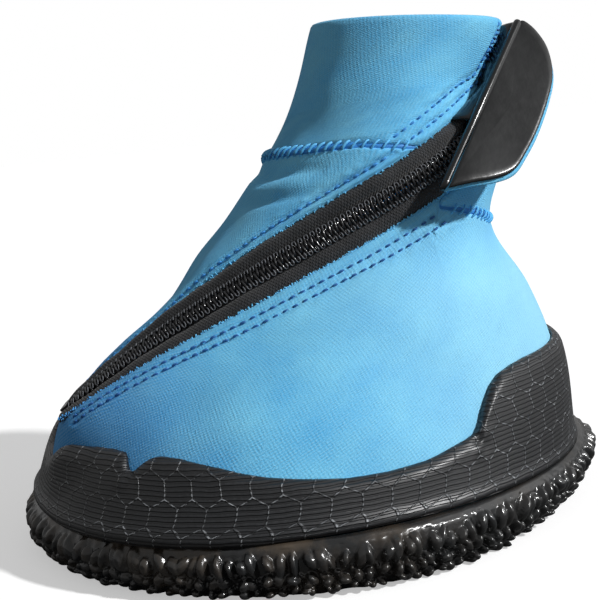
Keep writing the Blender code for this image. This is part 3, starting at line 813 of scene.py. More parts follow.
def spaced(path: Array, pitch: float) -> tuple[Array, Array]:
    """Points at an even pitch along a path.

    Args:
        path: points of the path.
        pitch: distance between points.

    Returns:
        The points, and their places on the path counted in its own points.
    """
    run = np.concatenate(((0.0,), np.linalg.norm(np.diff(path, axis=0), axis=1).cumsum()))
    places = np.arange(0.0, run[-1], pitch)
    index = np.interp(places, run, np.arange(len(path)))
    return np.stack([np.interp(places, run, path[:, k]) for k in range(3)], -1), index


@dataclass(frozen=True)
class StitchRow:
    """Row of lockstitch on a surface: short threads whose ends dive into the fabric."""

    line: Line
    pitch: float = 2.9 * MM
    length: float = 1.5 * MM
    radius: float = 0.28 * MM
    proud: float = 0.02 * MM
    sink: float = 0.45 * MM
    step: float = 0.2 * MM
    points: int = 7
    sides: int = 6

    def build(self, form: BootForm) -> Shape:
        """Make the threads of the row.

        Args:
            form: surface that the row lies on.

        Returns:
            Vertices and faces.
        """
        path, normal = form.face(*self.line), form.normal(*self.line)
        fine, index = spaced(path, self.step)
        out = np.stack([np.interp(index, np.arange(len(path)), normal[:, k]) for k in range(3)], -1)
        step, reach = int(round(self.pitch / self.step)), int(round(self.length / self.step))
        share = np.linspace(-1, 1, reach + 1)
        lift = self.proud - (self.proud + self.sink) * share ** 4
        picks = np.linspace(0, reach, self.points).astype(int)
        width = self.radius * np.sqrt(np.clip(1.05 - share[picks] ** 6, 0.1, 1))
        parts = []
        for start in range(0, len(fine) - reach, step):
            piece = slice(start, start + reach + 1)
            centre = (fine[piece] + lift[:, None] * out[piece])[picks]
            parts.append(tube(centre, self.sides, width, out[piece][picks]))
        return merged(parts)


# Finishes


@dataclass(frozen=True)
class JerseyNeoprene:
    """Foam rubber laminated with a brushed nylon jersey.

    The eye gets a soft blue with a fine slanting knit, a little fuzz, and painted highlights, sheen and
    shade.
    """

    name: str = "jersey_neoprene"
    blue: str = "#74cdf5"
    shade: str = "#4fb3ec"
    # Pale colour painted as a sheen towards the heel and as highlights on the knit's tops
    painted_highlight: str = "#b2e6f8"
    # Darker blue painted as shade over the toe
    painted_shade: str = "#1c78cc"
    sheen: str = "#9fdcff"
    # Knit spacings in millimetres, their slants, and how many patches, tufts and clouds stand in a millimetre
    rib: float = 0.88
    course: float = 0.74
    rib_slant: float = 0.62
    course_slant: float = 2.05
    patches: float = 0.35
    tufts: float = 1.7
    clouds: float = 0.06
    depth: float = 0.13 * MM
    # Start and end of the painted sheen along the boot and up it, and its most; then of the toe's painted
    # shade
    painted_sheen: tuple[float, float, float] = (-25 * MM, 62 * MM, 0.55)
    painted_sheen_top: tuple[float, float] = (86 * MM, 62 * MM)
    toe: tuple[float, float, float] = (-26 * MM, -66 * MM, 0.72)

    def build(self) -> Material:
        """Make the material.

        Returns:
            The material.
        """
        made, tree, shader = start_material(self.name)
        place = add(tree, "UVMap", uv_map="fabric")
        # Knit ribs slant across the panel; each loop is a short bump along its rib
        rib = ripple(tree, place, (math.cos(self.rib_slant), math.sin(self.rib_slant)), self.rib)
        loop = ripple(tree, place, (math.cos(self.course_slant), math.sin(self.course_slant)), self.course)
        both = add(tree, "Math", {0: rib, 1: 0.55, 2: loop}, operation="MULTIPLY_ADD")
        # The brushed face hides the knit in patches
        bare = add(tree, "TexNoise", {"Vector": place, "Scale": self.patches, "Detail": 3.0,
                                      "Roughness": 0.6})
        showing = add(tree, "MapRange", {"Value": bare, "From Min": 0.35, "From Max": 0.7, "To Min": 0.15,
                                         "To Max": 0.75})
        knit = add(tree, "Math", {0: both, 1: showing}, operation="MULTIPLY")
        fuzz = add(tree, "TexNoise", {"Vector": place, "Scale": self.tufts, "Detail": 4.0, "Roughness": 0.75})
        height = add(tree, "Math", {0: fuzz, 1: 3.2, 2: knit}, operation="MULTIPLY_ADD")
        # Broad, weak clouds of colour where the pile lies another way
        cloud = add(tree, "TexNoise", {"Vector": place, "Scale": self.clouds, "Detail": 4.0})
        spread = add(tree, "MapRange", {"Value": cloud, "From Min": 0.3, "From Max": 0.7})
        base = add(tree, "Mix", {0: spread, 6: linear(self.shade), 7: linear(self.blue)}, data_type="RGBA")
        # Painted sheen: paler towards the heel, which faces the lamp, below the collar
        spot = add(tree, "SeparateXYZ", {0: add(tree, "TexCoord").outputs["Object"]})
        heel = add(tree, "MapRange", {"Value": spot.outputs[1], "From Min": self.painted_sheen[0],
                                      "From Max": self.painted_sheen[1], "To Max": self.painted_sheen[2]},
                   interpolation_type="SMOOTHSTEP")
        below = add(tree, "MapRange", {"Value": spot.outputs[2], "From Min": self.painted_sheen_top[0],
                                       "From Max": self.painted_sheen_top[1]})
        painted_sheen_share = add(tree, "Math", {0: heel, 1: below}, operation="MULTIPLY")
        with_painted_sheen = add(tree, "Mix", {0: painted_sheen_share, 6: base, 7: linear(self.painted_highlight)}, data_type="RGBA")
        # Painted shade: a deeper blue over the toe, which turns away from the lamp
        front = add(tree, "MapRange", {"Value": spot.outputs[1], "From Min": self.toe[0],
                                       "From Max": self.toe[1], "To Max": self.toe[2]},
                    interpolation_type="SMOOTHSTEP")
        with_painted_shade = add(tree, "Mix", {0: front, 6: with_painted_sheen, 7: linear(self.painted_shade)}, data_type="RGBA")
        # Painted highlights: the tops of the ribs and tufts are paler
        tops = add(tree, "MapRange", {"Value": height, "From Min": 1.1, "From Max": 2.9, "To Max": 0.42})
        feed(shader, {
            "Normal": add(tree, "Bump", {"Height": height, "Strength": 0.6, "Distance": self.depth}),
            "Base Color": add(tree, "Mix", {0: tops, 6: with_painted_shade, 7: linear(self.painted_highlight)}, data_type="RGBA"),
            "Roughness": 0.82, "Sheen Weight": 0.10, "Sheen Roughness": 0.5, "Sheen Tint": linear(self.sheen),
            "Specular IOR Level": 0.25,
        })
        return made


@dataclass(frozen=True)
class BondedThread:
    """Twisted and bonded polyester sewing thread: its plies shine softly along the twist."""

    name: str = "bonded_thread"
    colour: str = "#215c9c"
    twist: float = 0.35 * MM
    depth: float = 0.1 * MM

    def build(self) -> Material:
        """Make the material.

        Returns:
            The material.
        """
        made, tree, shader = start_material(self.name)
        place = add(tree, "TexCoord").outputs["Object"]
        ply = add(tree, "TexNoise", {"Vector": place, "Scale": 1 / self.twist, "Detail": 1.0})
        tone = add(tree, "MapRange", {"Value": ply, "To Min": 0.75, "To Max": 1.25})
        feed(shader, {
            "Base Color": add(tree, "HueSaturation", {"Color": linear(self.colour), "Value": tone}),
            "Normal": add(tree, "Bump", {"Height": ply, "Strength": 0.4, "Distance": self.depth}),
            "Roughness": 0.6,
        })
        return made


@dataclass(frozen=True)
class RibbedRubber:
    """Compression-moulded rubber: level ribs crossed by thin raised hexagons, as the mould was cut."""

    name: str = "ribbed_rubber"
    black: str = "#18191b"
    # Paler colour painted as a highlight on the rib tops
    rib_highlight: str = "#4d5054"
    # Pale colour painted as glints on the raised lines where they cross a rib
    line: str = "#b4b8bd"
    # Spacings of the ribs and hexagons in millimetres, and how many specks, bends and patches stand in one
    rib: float = 1.12
    cell: float = 7.3
    specks: float = 0.9
    bends: float = 0.12
    patches: float = 0.16
    depth: float = 0.5 * MM

    def _honeycomb(self, tree: Tree, place: Node) -> Node:
        """Distance from the middle of the nearest hexagon, which is 0.5 at its sides.

        Args:
            tree: material's node tree.
            place: texture coordinates in millimetres.

        Returns:
            Node that gives the distance.
        """
        scaled = add(tree, "VectorMath", {0: place, 1: (1 / self.cell, 1 / self.cell, 0.0)},
                     operation="MULTIPLY")
        half = (0.5, math.sqrt(3) / 2, 1.0)
        found = []
        for shift in ((0.0, 0.0, 0.0), half):
            moved = add(tree, "VectorMath", {0: scaled, 1: shift}, operation="SUBTRACT")
            cell = add(tree, "VectorMath", {0: moved, 1: half, 2: tuple(-x for x in half)}, operation="WRAP")
            size = add(tree, "VectorMath", {0: cell}, operation="ABSOLUTE")
            slant = add(tree, "VectorMath", {0: size, 1: (0.5, math.sqrt(3) / 2, 0.0)},
                        operation="DOT_PRODUCT")
            side = add(tree, "SeparateXYZ", {0: size})
            found.append(add(tree, "Math", {0: slant, 1: side}, operation="MAXIMUM"))
        return add(tree, "Math", {0: found[0], 1: found[1]}, operation="MINIMUM")

    def build(self) -> Material:
        """Make the material.

        Returns:
            The material.
        """
        made, tree, shader = start_material(self.name)
        place = add(tree, "UVMap", uv_map="fabric")
        wobble = add(tree, "TexNoise", {"Vector": place, "Scale": self.bends, "Detail": 2.0})
        bent = add(tree, "VectorMath", {0: wobble.outputs["Color"], 1: (0.5, 0.9, 0.0), 2: place},
                   operation="MULTIPLY_ADD")
        rib = ripple(tree, bent, (0.0, 1.0), self.rib)
        rounded = add(tree, "MapRange", {"Value": rib, "From Min": -0.75, "From Max": 0.35},
                      interpolation_type="SMOOTHSTEP")
        ridge = add(tree, "MapRange", {"Value": self._honeycomb(tree, bent), "From Min": 0.463,
                                       "From Max": 0.492}, interpolation_type="SMOOTHSTEP")
        height = add(tree, "Math", {0: ridge, 1: 0.8, 2: rounded}, operation="MULTIPLY_ADD")
        grain = add(tree, "TexNoise", {"Vector": place, "Scale": self.specks, "Detail": 5.0,
                                       "Roughness": 0.7})
        # Painted highlight: the tops of the ribs are paler, flecked by the grain
        pale = add(tree, "Math", {0: grain, 1: height}, operation="MULTIPLY")
        part = add(tree, "MapRange", {"Value": pale, "From Min": 0.35, "From Max": 1.5, "To Max": 0.75})
        colour = add(tree, "Mix", {0: part, 6: linear(self.black), 7: linear(self.rib_highlight)}, data_type="RGBA")
        # Painted glints: the thin raised lines are painted pale where they cross a rib, in broken patches
        ridge_glint = add(tree, "Math", {0: ridge, 1: rounded}, operation="MULTIPLY")
        patch = add(tree, "TexNoise", {"Vector": place, "Scale": self.patches, "Detail": 3.0})
        broken = add(tree, "MapRange", {"Value": patch, "From Min": 0.36, "From Max": 0.62, "To Min": 0.15,
                                        "To Max": 1.2})
        painted_highlight = add(tree, "Math", {0: broken, 1: grain}, operation="MULTIPLY")
        painted_glint = add(tree, "Math", {0: ridge_glint, 1: painted_highlight}, operation="MULTIPLY")
        feed(shader, {
            "Base Color": add(tree, "Mix", {0: painted_glint, 6: colour, 7: linear(self.line)}, data_type="RGBA"),
            "Normal": add(tree, "Bump", {"Height": height, "Strength": 1.0, "Distance": self.depth}),
            "Roughness": add(tree, "MapRange", {"Value": grain, "To Min": 0.30, "To Max": 0.52}),
        })
        return made


@dataclass(frozen=True)
class LugRubber:
    """Moulded tread rubber: glossy black knobs, with dry dust kept in the hollows towards the toe."""

    name: str = "lug_rubber"
    black: str = "#202122"
    dust: str = "#6b5b48"
    grain: float = 0.6 * MM
    patch: float = 9 * MM
    depth: float = 0.2 * MM
    # Where the dust thins out along the boot, and where it thickens up the side
    dusty: tuple[float, float] = (20 * MM, -75 * MM)
    shoulder: tuple[float, float] = (10.5 * MM, 12.6 * MM)

    def build(self) -> Material:
        """Make the material.

        Returns:
            The material.
        """
        made, tree, shader = start_material(self.name)
        place = add(tree, "TexCoord").outputs["Object"]
        spot = add(tree, "SeparateXYZ", {0: place})
        grain = add(tree, "TexNoise", {"Vector": place, "Scale": 1 / self.grain, "Detail": 4.0,
                                       "Roughness": 0.65})
        patch = add(tree, "TexNoise", {"Vector": place, "Scale": 1 / self.patch, "Detail": 5.0,
                                       "Roughness": 0.6})
        front = add(tree, "MapRange", {"Value": spot.outputs[1], "From Min": self.dusty[0],
                                       "From Max": self.dusty[1], "To Min": 0.10, "To Max": 0.9})
        high = add(tree, "MapRange", {"Value": spot.outputs[2], "From Min": self.shoulder[0],
                                      "From Max": self.shoulder[1], "To Min": 0.55, "To Max": 1.3})
        where = add(tree, "Math", {0: front, 1: high}, operation="MULTIPLY")
        spots = add(tree, "MapRange", {"Value": patch, "From Min": 0.42, "From Max": 0.66})
        amount = add(tree, "Math", {0: where, 1: spots}, operation="MULTIPLY")
        soft = add(tree, "Math", {0: amount, 1: 0.6}, operation="MULTIPLY")
        feed(shader, {
            "Base Color": add(tree, "Mix", {0: soft, 6: linear(self.black), 7: linear(self.dust)},
                              data_type="RGBA"),
            "Roughness": add(tree, "MapRange", {"Value": soft, "To Min": 0.17, "To Max": 0.8}),
            "Normal": add(tree, "Bump", {"Height": grain, "Strength": 0.25, "Distance": self.depth}),
        })
        return made


@dataclass(frozen=True)
class WovenTape:
    """Herringbone polyester tape: matt black with a fine woven grain and grey lint."""

    name: str = "woven_tape"
    black: str = "#161719"
    lint: str = "#3a3c40"
    # Spacing of the yarns in millimetres, and how many tufts of lint stand in one
    yarn: float = 0.7
    tufts: float = 1.3
    depth: float = 0.15 * MM

    def build(self) -> Material:
        """Make the material.

        Returns:
            The material.
        """
        made, tree, shader = start_material(self.name)
        place = add(tree, "UVMap", uv_map="fabric")
        warp = ripple(tree, place, (0.8, 0.6), self.yarn)
        weft = ripple(tree, place, (0.8, -0.6), self.yarn)
        weave = add(tree, "Math", {0: warp, 1: weft}, operation="MAXIMUM")
        fluff = add(tree, "TexNoise", {"Vector": place, "Scale": self.tufts, "Detail": 4.0,
                                       "Roughness": 0.75})
        height = add(tree, "Math", {0: fluff, 1: 1.5, 2: weave}, operation="MULTIPLY_ADD")
        part = add(tree, "MapRange", {"Value": fluff, "From Min": 0.42, "From Max": 0.72, "To Max": 0.6})
        feed(shader, {
            "Normal": add(tree, "Bump", {"Height": height, "Strength": 0.7, "Distance": self.depth}),
            "Base Color": add(tree, "Mix", {0: part, 6: linear(self.black), 7: linear(self.lint)},
                              data_type="RGBA"),
            "Roughness": 0.88, "Sheen Weight": 0.2,
        })
        return made


@dataclass(frozen=True)
class NylonCoil:
    """Extruded nylon monofilament, wound and heat-set: a hard black gloss on each turn."""

    name: str = "nylon_coil"
    black: str = "#1b1c1f"
    scuff: float = 2.2 * MM
    ior: float = 1.53

    def build(self) -> Material:
        """Make the material.

        Returns:
            The material.
        """
        made, tree, shader = start_material(self.name)
        place = add(tree, "TexCoord").outputs["Object"]
        scuff = add(tree, "TexNoise", {"Vector": place, "Scale": 1 / self.scuff, "Detail": 3.0})
        feed(shader, {
            "Roughness": add(tree, "MapRange", {"Value": scuff, "To Min": 0.08, "To Max": 0.24}),
            "Base Color": linear(self.black), "IOR": self.ior,
        })
        return made


@dataclass(frozen=True)
class LacqueredZinc:
    """Die-cast zinc under black stove lacquer: smooth gloss, a little worn."""

    name: str = "lacquered_zinc"
    black: str = "#18191b"
    peel: float = 1.4 * MM
    depth: float = 0.1 * MM

    def build(self) -> Material:
        """Make the material.

        Returns:
            The material.
        """
        made, tree, shader = start_material(self.name)
        place = add(tree, "TexCoord").outputs["Object"]
        peel = add(tree, "TexNoise", {"Vector": place, "Scale": 1 / self.peel, "Detail": 2.0})
        feed(shader, {
            "Normal": add(tree, "Bump", {"Height": peel, "Strength": 0.15, "Distance": self.depth}),
            "Roughness": add(tree, "MapRange", {"Value": peel, "To Min": 0.16, "To Max": 0.3}),
            "Base Color": linear(self.black), "Coat Weight": 0.4,
        })
        return made


@dataclass(frozen=True)
class CoatedFacing:
    """Knit backed with glossy polyurethane: black, slick and very faintly puckered."""

    name: str = "coated_facing"
    black: str = "#151617"
    pucker: float = 3.0 * MM
    depth: float = 0.4 * MM

    def build(self) -> Material:
        """Make the material.

        Returns:
            The material.
        """
        made, tree, shader = start_material(self.name)
        place = add(tree, "TexCoord").outputs["Object"]
        pucker = add(tree, "TexNoise", {"Vector": place, "Scale": 1 / self.pucker, "Detail": 3.0})
        feed(shader, {
            "Normal": add(tree, "Bump", {"Height": pucker, "Strength": 0.12, "Distance": self.depth}),
            "Roughness": add(tree, "MapRange", {"Value": pucker, "To Min": 0.16, "To Max": 0.28}),
            "Base Color": linear(self.black), "Specular IOR Level": 0.36,
        })
        return made


@dataclass(frozen=True)
class FootbedKnit:
    """Polyester knit over insole foam: charcoal, dry and softly ribbed."""

    name: str = "footbed_knit"
    grey: str = "#35373b"
    pale: str = "#54575c"
    mesh: float = 1.6 * MM
    depth: float = 0.2 * MM

    def build(self) -> Material:
        """Make the material.

        Returns:
            The material.
        """
        made, tree, shader = start_material(self.name)
        place = add(tree, "TexCoord").outputs["Object"]
        mesh = add(tree, "TexVoronoi", {"Vector": place, "Scale": 1 / self.mesh})
        feed(shader, {
            "Normal": add(tree, "Bump", {"Height": mesh, "Strength": 0.5, "Distance": self.depth}),
            "Base Color": add(tree, "Mix", {0: mesh, 6: linear(self.grey), 7: linear(self.pale)},
                              data_type="RGBA"),
            "Roughness": 0.95,
        })
        return made


@dataclass(frozen=True)
class PressedBoard:
    """Pressed fibre board: dull grey with a flecked surface."""

    name: str = "pressed_board"
    grey: str = "#6a655d"
    fleck: float = 1.5 * MM

    def build(self) -> Material:
        """Make the material.

        Returns:
            The material.
        """
        made, tree, shader = start_material(self.name)
        place = add(tree, "TexCoord").outputs["Object"]
        fleck = add(tree, "TexNoise", {"Vector": place, "Scale": 1 / self.fleck, "Detail": 5.0})
        feed(shader, {"Base Color": add(tree, "HueSaturation", {"Color": linear(self.grey), "Value": fleck}),
                      "Roughness": 0.95})
        return made


class Finishes:
    """All the finishes, made once."""

    def __init__(self) -> None:
        """Make each finish."""
        self.neoprene: Material = JerseyNeoprene().build()
        self.thread: Material = BondedThread().build()
        self.seam_thread: Material = BondedThread(name="seam_thread", colour="#5bb6ea").build()
        self.pale_thread: Material = BondedThread(name="pale_thread", colour="#3486cc").build()
        self.tape_thread: Material = BondedThread(name="tape_thread", colour="#63666b").build()
        self.rand: Material = RibbedRubber().build()
        self.sole: Material = LugRubber().build()
        self.tape: Material = WovenTape().build()
        self.coil: Material = NylonCoil().build()
        self.metal: Material = LacqueredZinc().build()
        self.facing: Material = CoatedFacing().build()
        self.footbed: Material = FootbedKnit().build()
        self.board: Material = PressedBoard().build()


def fit(piece: Object, body: Body, finish: Material, nodes: Sequence[str] = ()) -> Object:
    """Give a piece its finish, its body and the CAD nodes that it stands for.

    Args:
        piece: the piece.
        body: body that it rides on.
        finish: its material.
        nodes: CAD nodes that it replaces.

    Returns:
        The piece.
    """
    piece.data.materials.clear()
    piece.data.materials.append(finish)
    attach(piece, body.value)
    if nodes:
        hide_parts(*nodes)
    LOG.info("%s: %d faces on %s", piece.name, len(piece.data.polygons), body.value)
    return piece


# Sub-assemblies


@dataclass(frozen=True)
class Crease:
    """Soft fold in the neoprene, along a straight line in degrees of angle and in rise."""

    start: tuple[float, float]
    end: tuple[float, float]
    width: float
    depth: float

    def height(self, form: BootForm, points: Array) -> Array:
        """Height of the fold at points.

        Args:
            form: the face that it lies on.
            points: one point per row.

        Returns:
            Heights.
        """
        share = np.linspace(0, 1, 60)
        angle = np.radians(self.start[0] + (self.end[0] - self.start[0]) * share)
        line = form.face(angle, self.start[1] + (self.end[1] - self.start[1]) * share)
        line = line + 0.6 * MM * soft_noise(line, 14 * MM, 5)[:, None] * np.array((0.0, 0.0, 1.0))
        tree = search_tree(line)
        near = [tree.find(point) for point in points]
        gap = np.array([n[2] for n in near])
        strength = (np.sin(math.pi * share) ** 0.7)[[n[1] for n in near]]
        return self.depth * strength * bell(gap, self.width)


@dataclass
class Upper:
    """Neoprene upper: two foot panels and a collar, sewn at a chunky seam and open along the zip."""

    form: BootForm
    openings: Openings
    thickness: float = 3.8 * MM
    rounding: float = 1.5 * MM
    # How far the fabric is drawn in at a line of stitches, and the rises that a seam takes up
    stitch_depth: float = 0.7 * MM
    seam_gap: float = 0.0012
    seam_margin: float = 0.012
    slot: str = "blue_neoprene"
    creases: tuple = (
        Crease((-30, 0.690), (50, 0.698), 2.1 * MM, -1.5 * MM),
        Crease((-12, 0.650), (44, 0.666), 2.6 * MM, 0.7 * MM),
        Crease((-5, 0.622), (58, 0.645), 1.9 * MM, -0.95 * MM),
        Crease((15, 0.742), (70, 0.760), 3.0 * MM, 0.35 * MM),
        Crease((60, 0.80), (110, 0.86), 4.0 * MM, -0.30 * MM),
        Crease((20, 0.84), (62, 0.90), 4.5 * MM, 0.35 * MM),
        Crease((62, 0.93), (118, 0.95), 4.0 * MM, -0.40 * MM),
    )

    @staticmethod
    def rows_between(low: Array, high: Array, count: int, dense_low: bool = False) -> Array:
        """Rises of rows between two edges, closer together beside the rounded upper edge.

        Args:
            low: rise of the lower edge at each column.
            high: rise of the upper edge at each column.
            count: number of evenly spaced rows.
            dense_low: whether the lower edge is rounded too.

        Returns:
            Rises by row and column.
        """
        extra = np.array((0.12, 0.35, 0.7)) / (count - 1)
        shares = [np.linspace(0, 1, count), 1 - extra] + ([extra] if dense_low else [])
        return low + (high - low) * np.unique(np.concatenate(shares))[:, None]

    def skin(self, name: str, grid: Array, lines: Sequence[Line], reference: int,
             mask: Optional[Array] = None) -> Object:
        """Make a panel whose face sinks along its stitch lines and folds along the creases.

        Args:
            name: name of the piece.
            grid: points of its outer face.
            lines: its stitch lines.
            reference: column from which its texture coordinates are counted.
            mask: grid cells that are kept.

        Returns:
            The piece.
        """
        points = grid.reshape(-1, 3)
        lift = 0.22 * MM * soft_noise(points, 24 * MM, 11) + 0.10 * MM * soft_noise(points, 9 * MM, 12)
        stitched = search_tree(np.concatenate([self.form.face(*line) for line in lines]))
        gap = np.array([stitched.find(point)[2] for point in points])
        pucker = self.stitch_depth * (1 + 0.55 * soft_noise(points, 1.9 * MM, 13))
        lift += pucker * (0.40 * bell(gap - 1.7 * MM, 0.9 * MM) - bell(gap, 0.8 * MM))
        for crease in self.creases:
            lift += crease.height(self.form, points)
        return Wall(name, grid, self.thickness, self.rounding, arc_uv(grid, reference), mask=mask,
                    relief=lift).build()

    def stitch_line(self, side: Side, offset: float, above_seam: bool) -> Line:
        """Part of a line beside the opening that lies below or above the collar's seam.

        Args:
            side: edge of the opening.
            offset: distance from the edge.
            above_seam: which part is wanted.

        Returns:
            Angles and rises of the line.
        """
        angle, rise = self.openings.line(side, offset)
        margin = self.seam_margin if above_seam else -self.seam_margin
        cross = int(np.argmax(rise > self.form.seam_rise(angle) + margin))
        part = slice(cross, -2) if above_seam else slice(4, cross)
        return angle[part], rise[part]

    def panel_lines(self) -> dict[str, list[Line]]:
        """Stitch lines by the panel that they lie on.

        Returns:
            Lines of each panel, from the opening inwards.
        """
        return {
            "far": [self.stitch_line(Side.UPPER, 2.6 * MM, False)],
            "near": [self.stitch_line(Side.LOWER, offset, False) for offset in (3.4 * MM, 6.3 * MM)],
            "collar": [self.stitch_line(Side.UPPER, offset, True) for offset in (3.0 * MM, 6.2 * MM)],
        }

    def far_panel(self, lines: Sequence[Line]) -> Object:
        """Panel from the heel seam round the far side and over the top of the zip.

        Args:
            lines: its stitch lines.

        Returns:
            The piece.
        """
        edge_angle, edge_rise = self.openings.edges[Side.UPPER]
        first, last = edge_angle[0], edge_angle[self.openings.crossing(Side.UPPER)]
        back = np.linspace(-math.pi, first, 168)
        angles = np.concatenate((back, np.linspace(first, last, 92)[1:]))
        # The rows split along a line from the heel seam to the zip's toe end
        split = np.interp(angles, (-math.pi, first), (0.30, edge_rise[0]))
        edge = np.where(angles > first, np.interp(angles, edge_angle, edge_rise), split)
        top = np.maximum(self.form.seam_rise(angles) - self.seam_gap, edge + 0.002)
        lower = self.rows_between(0 * edge, edge, 16)
        rises = np.concatenate((lower, self.rows_between(edge, top, 44, True)[1:]))
        grid = self.form.face(np.broadcast_to(angles, rises.shape), rises)
        mask = np.ones((rises.shape[0] - 1, rises.shape[1] - 1), bool)
        mask[:len(lower) - 1, len(back) - 1:] = False
        return self.skin("far_panel_skin", grid, lines, len(back) + 40, mask)

    def near_panel(self, lines: Sequence[Line]) -> Object:
        """Panel under and behind the zip, to the heel seam.

        Args:
            lines: its stitch lines.

        Returns:
            The piece.
        """
        meet = self.openings.crossing(Side.LOWER) + 1
        edge_angle, edge_rise = (values[:meet] for values in self.openings.edges[Side.LOWER])
        toe_angle, toe_rise = (values[0] for values in self.openings.edges[Side.UPPER])
        first, last = edge_angle[0], edge_angle[-1]
        angles = np.concatenate((np.linspace(toe_angle, first, 8)[:-1], np.linspace(first, last, 100)[:-1],
                                 np.linspace(last, math.pi, 80)))
        cap = np.interp(angles, (toe_angle, first), (toe_rise, edge_rise[0]))
        edge = np.where(angles < first, cap, np.interp(angles, edge_angle, edge_rise))
        top = np.where(angles > last, self.form.seam_rise(angles) - self.seam_gap, edge)
        rises = self.rows_between(0 * top, top, 62)
        grid = self.form.face(np.broadcast_to(angles, rises.shape), rises)
        return self.skin("near_panel_skin", grid, lines, 90)

    def collar_edge(self, side: Side, turn: float, share: Array) -> Array:
        """Edge of the collar from its seam to the rim.

        Args:
            side: edge of the opening.
            turn: angle added to the edge's own angles.
            share: places on the edge, from 0 to 1.

        Returns:
            Angle and rise at each place.
        """
        start = self.openings.crossing(side)
        angle, rise = (values[start:] for values in self.openings.edges[side])
        run = np.concatenate(((0,), np.hypot(np.diff(angle) * 0.5, np.diff(rise)).cumsum()))
        at = share * run[-1]
        return np.stack((np.interp(at, run, angle + turn), np.interp(at, run, rise)), -1)

    def collar(self, lines: Sequence[Line]) -> Object:
        """Collar, from the slit's rear edge round the back and the far side to its front edge.

        Args:
            lines: its stitch lines.

        Returns:
            The piece.
        """
        rows, columns = 46, 190
        up = np.unique(np.concatenate((np.linspace(0, 1, rows), (0.004, 0.01, 0.99, 0.996))))
        round_ = np.unique(np.concatenate((np.linspace(0, 1, columns), (0.0012, 0.003, 0.9988, 0.997))))
        left = self.collar_edge(Side.LOWER, 0.0, up)
        right = self.collar_edge(Side.UPPER, 2 * math.pi, up)
        angle = left[0, 0] + (right[0, 0] - left[0, 0]) * round_
        bottom = np.stack((angle, self.form.seam_rise(angle) + self.seam_gap), -1)
        bottom[0], bottom[-1] = left[0], right[0]
        top = np.stack((left[-1, 0] + (right[-1, 0] - left[-1, 0]) * round_, np.ones(len(round_))), -1)
        # The four edges are filled in as a Coons patch
        u, v = round_[None, :, None], up[:, None, None]
        patch = ((1 - v) * bottom[None] + v * top[None] + (1 - u) * left[:, None] + u * right[:, None]
                 - (1 - u) * (1 - v) * left[0] - u * (1 - v) * right[0]
                 - (1 - u) * v * left[-1] - u * v * right[-1])
        grid = self.form.face(patch[..., 0], patch[..., 1])
        return self.skin("collar_skin", grid, lines, columns * 3 // 4)

    def fuzz(self) -> Object:
        """Short fibres that stand out of the cut edges beside the zip.

        Returns:
            The piece.
        """
        rng = np.random.default_rng(3)
        parts = []
        track = self.form.track
        for side, count in ((Side.UPPER, 300), (Side.LOWER, 950)):
            for _ in range(count):
                s = rng.uniform(track.tape_start, track.end)
                length = rng.uniform(0.25, 0.80) * MM
                aside = side.value * (6.9 * MM + rng.uniform(0, 0.5) * MM)
                start = track.place(s, aside, -rng.uniform(0.2, 1.0) * MM)
                _, along, across, out = track.frame(s)
                way = -side.value * across + rng.uniform(-0.7, 0.7) * along + rng.uniform(-0.1, 0.9) * out
                way /= np.linalg.norm(way)
                bend = rng.uniform(-0.3, 0.3) * along
                share = np.array((0.0, 0.5, 1.0))[:, None]
                path = start + share * length * way + share ** 2 * length * bend
                parts.append(tube(path, 5, np.array((0.22, 0.19, 0.08)) * MM))
        return mesh_piece("edge_fuzz", *merged(parts))

    def seam_spans(self) -> list[tuple[float, float]]:
        """Angles between which the collar's seam runs, on both sides of the heel."""
        near, far = (self.openings.edges[s][0][self.openings.crossing(s)] for s in (Side.LOWER, Side.UPPER))
        return [(near, math.pi), (-math.pi, far)]

    @staticmethod
    def seam_size(angle: Array, start: float, end: float) -> Array:
        """Size of the seam: thin behind the tab, and sunk where it meets the zip.

        Args:
            angle: angles round the boot.
            start: angle at which this stretch starts.
            end: angle at which it ends.

        Returns:
            Sizes from 0 to 1.
        """
        zip_end = start if start > 0 else end
        ends = np.clip(np.abs(angle - zip_end) / 0.16, 0, 1)
        return np.where(np.asarray(angle) > 1.0, 0.55, 1.0) * ends

    def seam_cord(self) -> Object:
        """Folded cloth that stands up along the collar's seam.

        Returns:
            The piece.
        """
        parts = []
        for start, end in self.seam_spans():
            angle = np.linspace(start, end, 300)
            rise = self.form.seam_rise(angle)
            normal = self.form.normal(angle, rise)
            size = self.seam_size(angle, start, end)
            path = self.form.face(angle, rise) - (0.75 * MM + 0.9 * MM * (1 - size))[:, None] * normal
            path = path + 0.12 * MM * soft_noise(path, 3.2 * MM, 51)[:, None] * normal
            parts.append(tube(path, 10, 1.25 * MM * (0.6 + 0.4 * size), normal))
        return mesh_piece("collar_seam_cord", *merged(parts))

    def seam_threads(self) -> Object:
        """Slanting overcast stitches that bind the collar's seam.

        Returns:
            The piece.
        """
        parts = []
        share = np.linspace(-1, 1, 9)
        steps = 400
        for start, end in self.seam_spans():
            angle = np.linspace(start, end, steps)
            _, index = spaced(self.form.face(angle, self.form.seam_rise(angle)), 2.6 * MM)
            for k, one in enumerate(np.interp(index, np.arange(steps), angle)[:-1]):
                size = float(self.seam_size(np.array(one), start, end))
                if size < 0.25:
                    continue
                # Every other stitch is a little shorter
                slant, tall = (0.027, 0.0150) if k % 2 else (0.020, 0.0135)
                turn = one + slant * share
                climb = self.form.seam_rise(turn) + share * tall
                lift = (0.55 + 0.25 * size - 1.3 * np.abs(share) ** 2.6) * MM
                parts.append(tube(self.form.skin(turn, climb, lift), 6, (0.16 + 0.24 * size) * MM))
        return mesh_piece("collar_seam_stitches", *merged(parts))

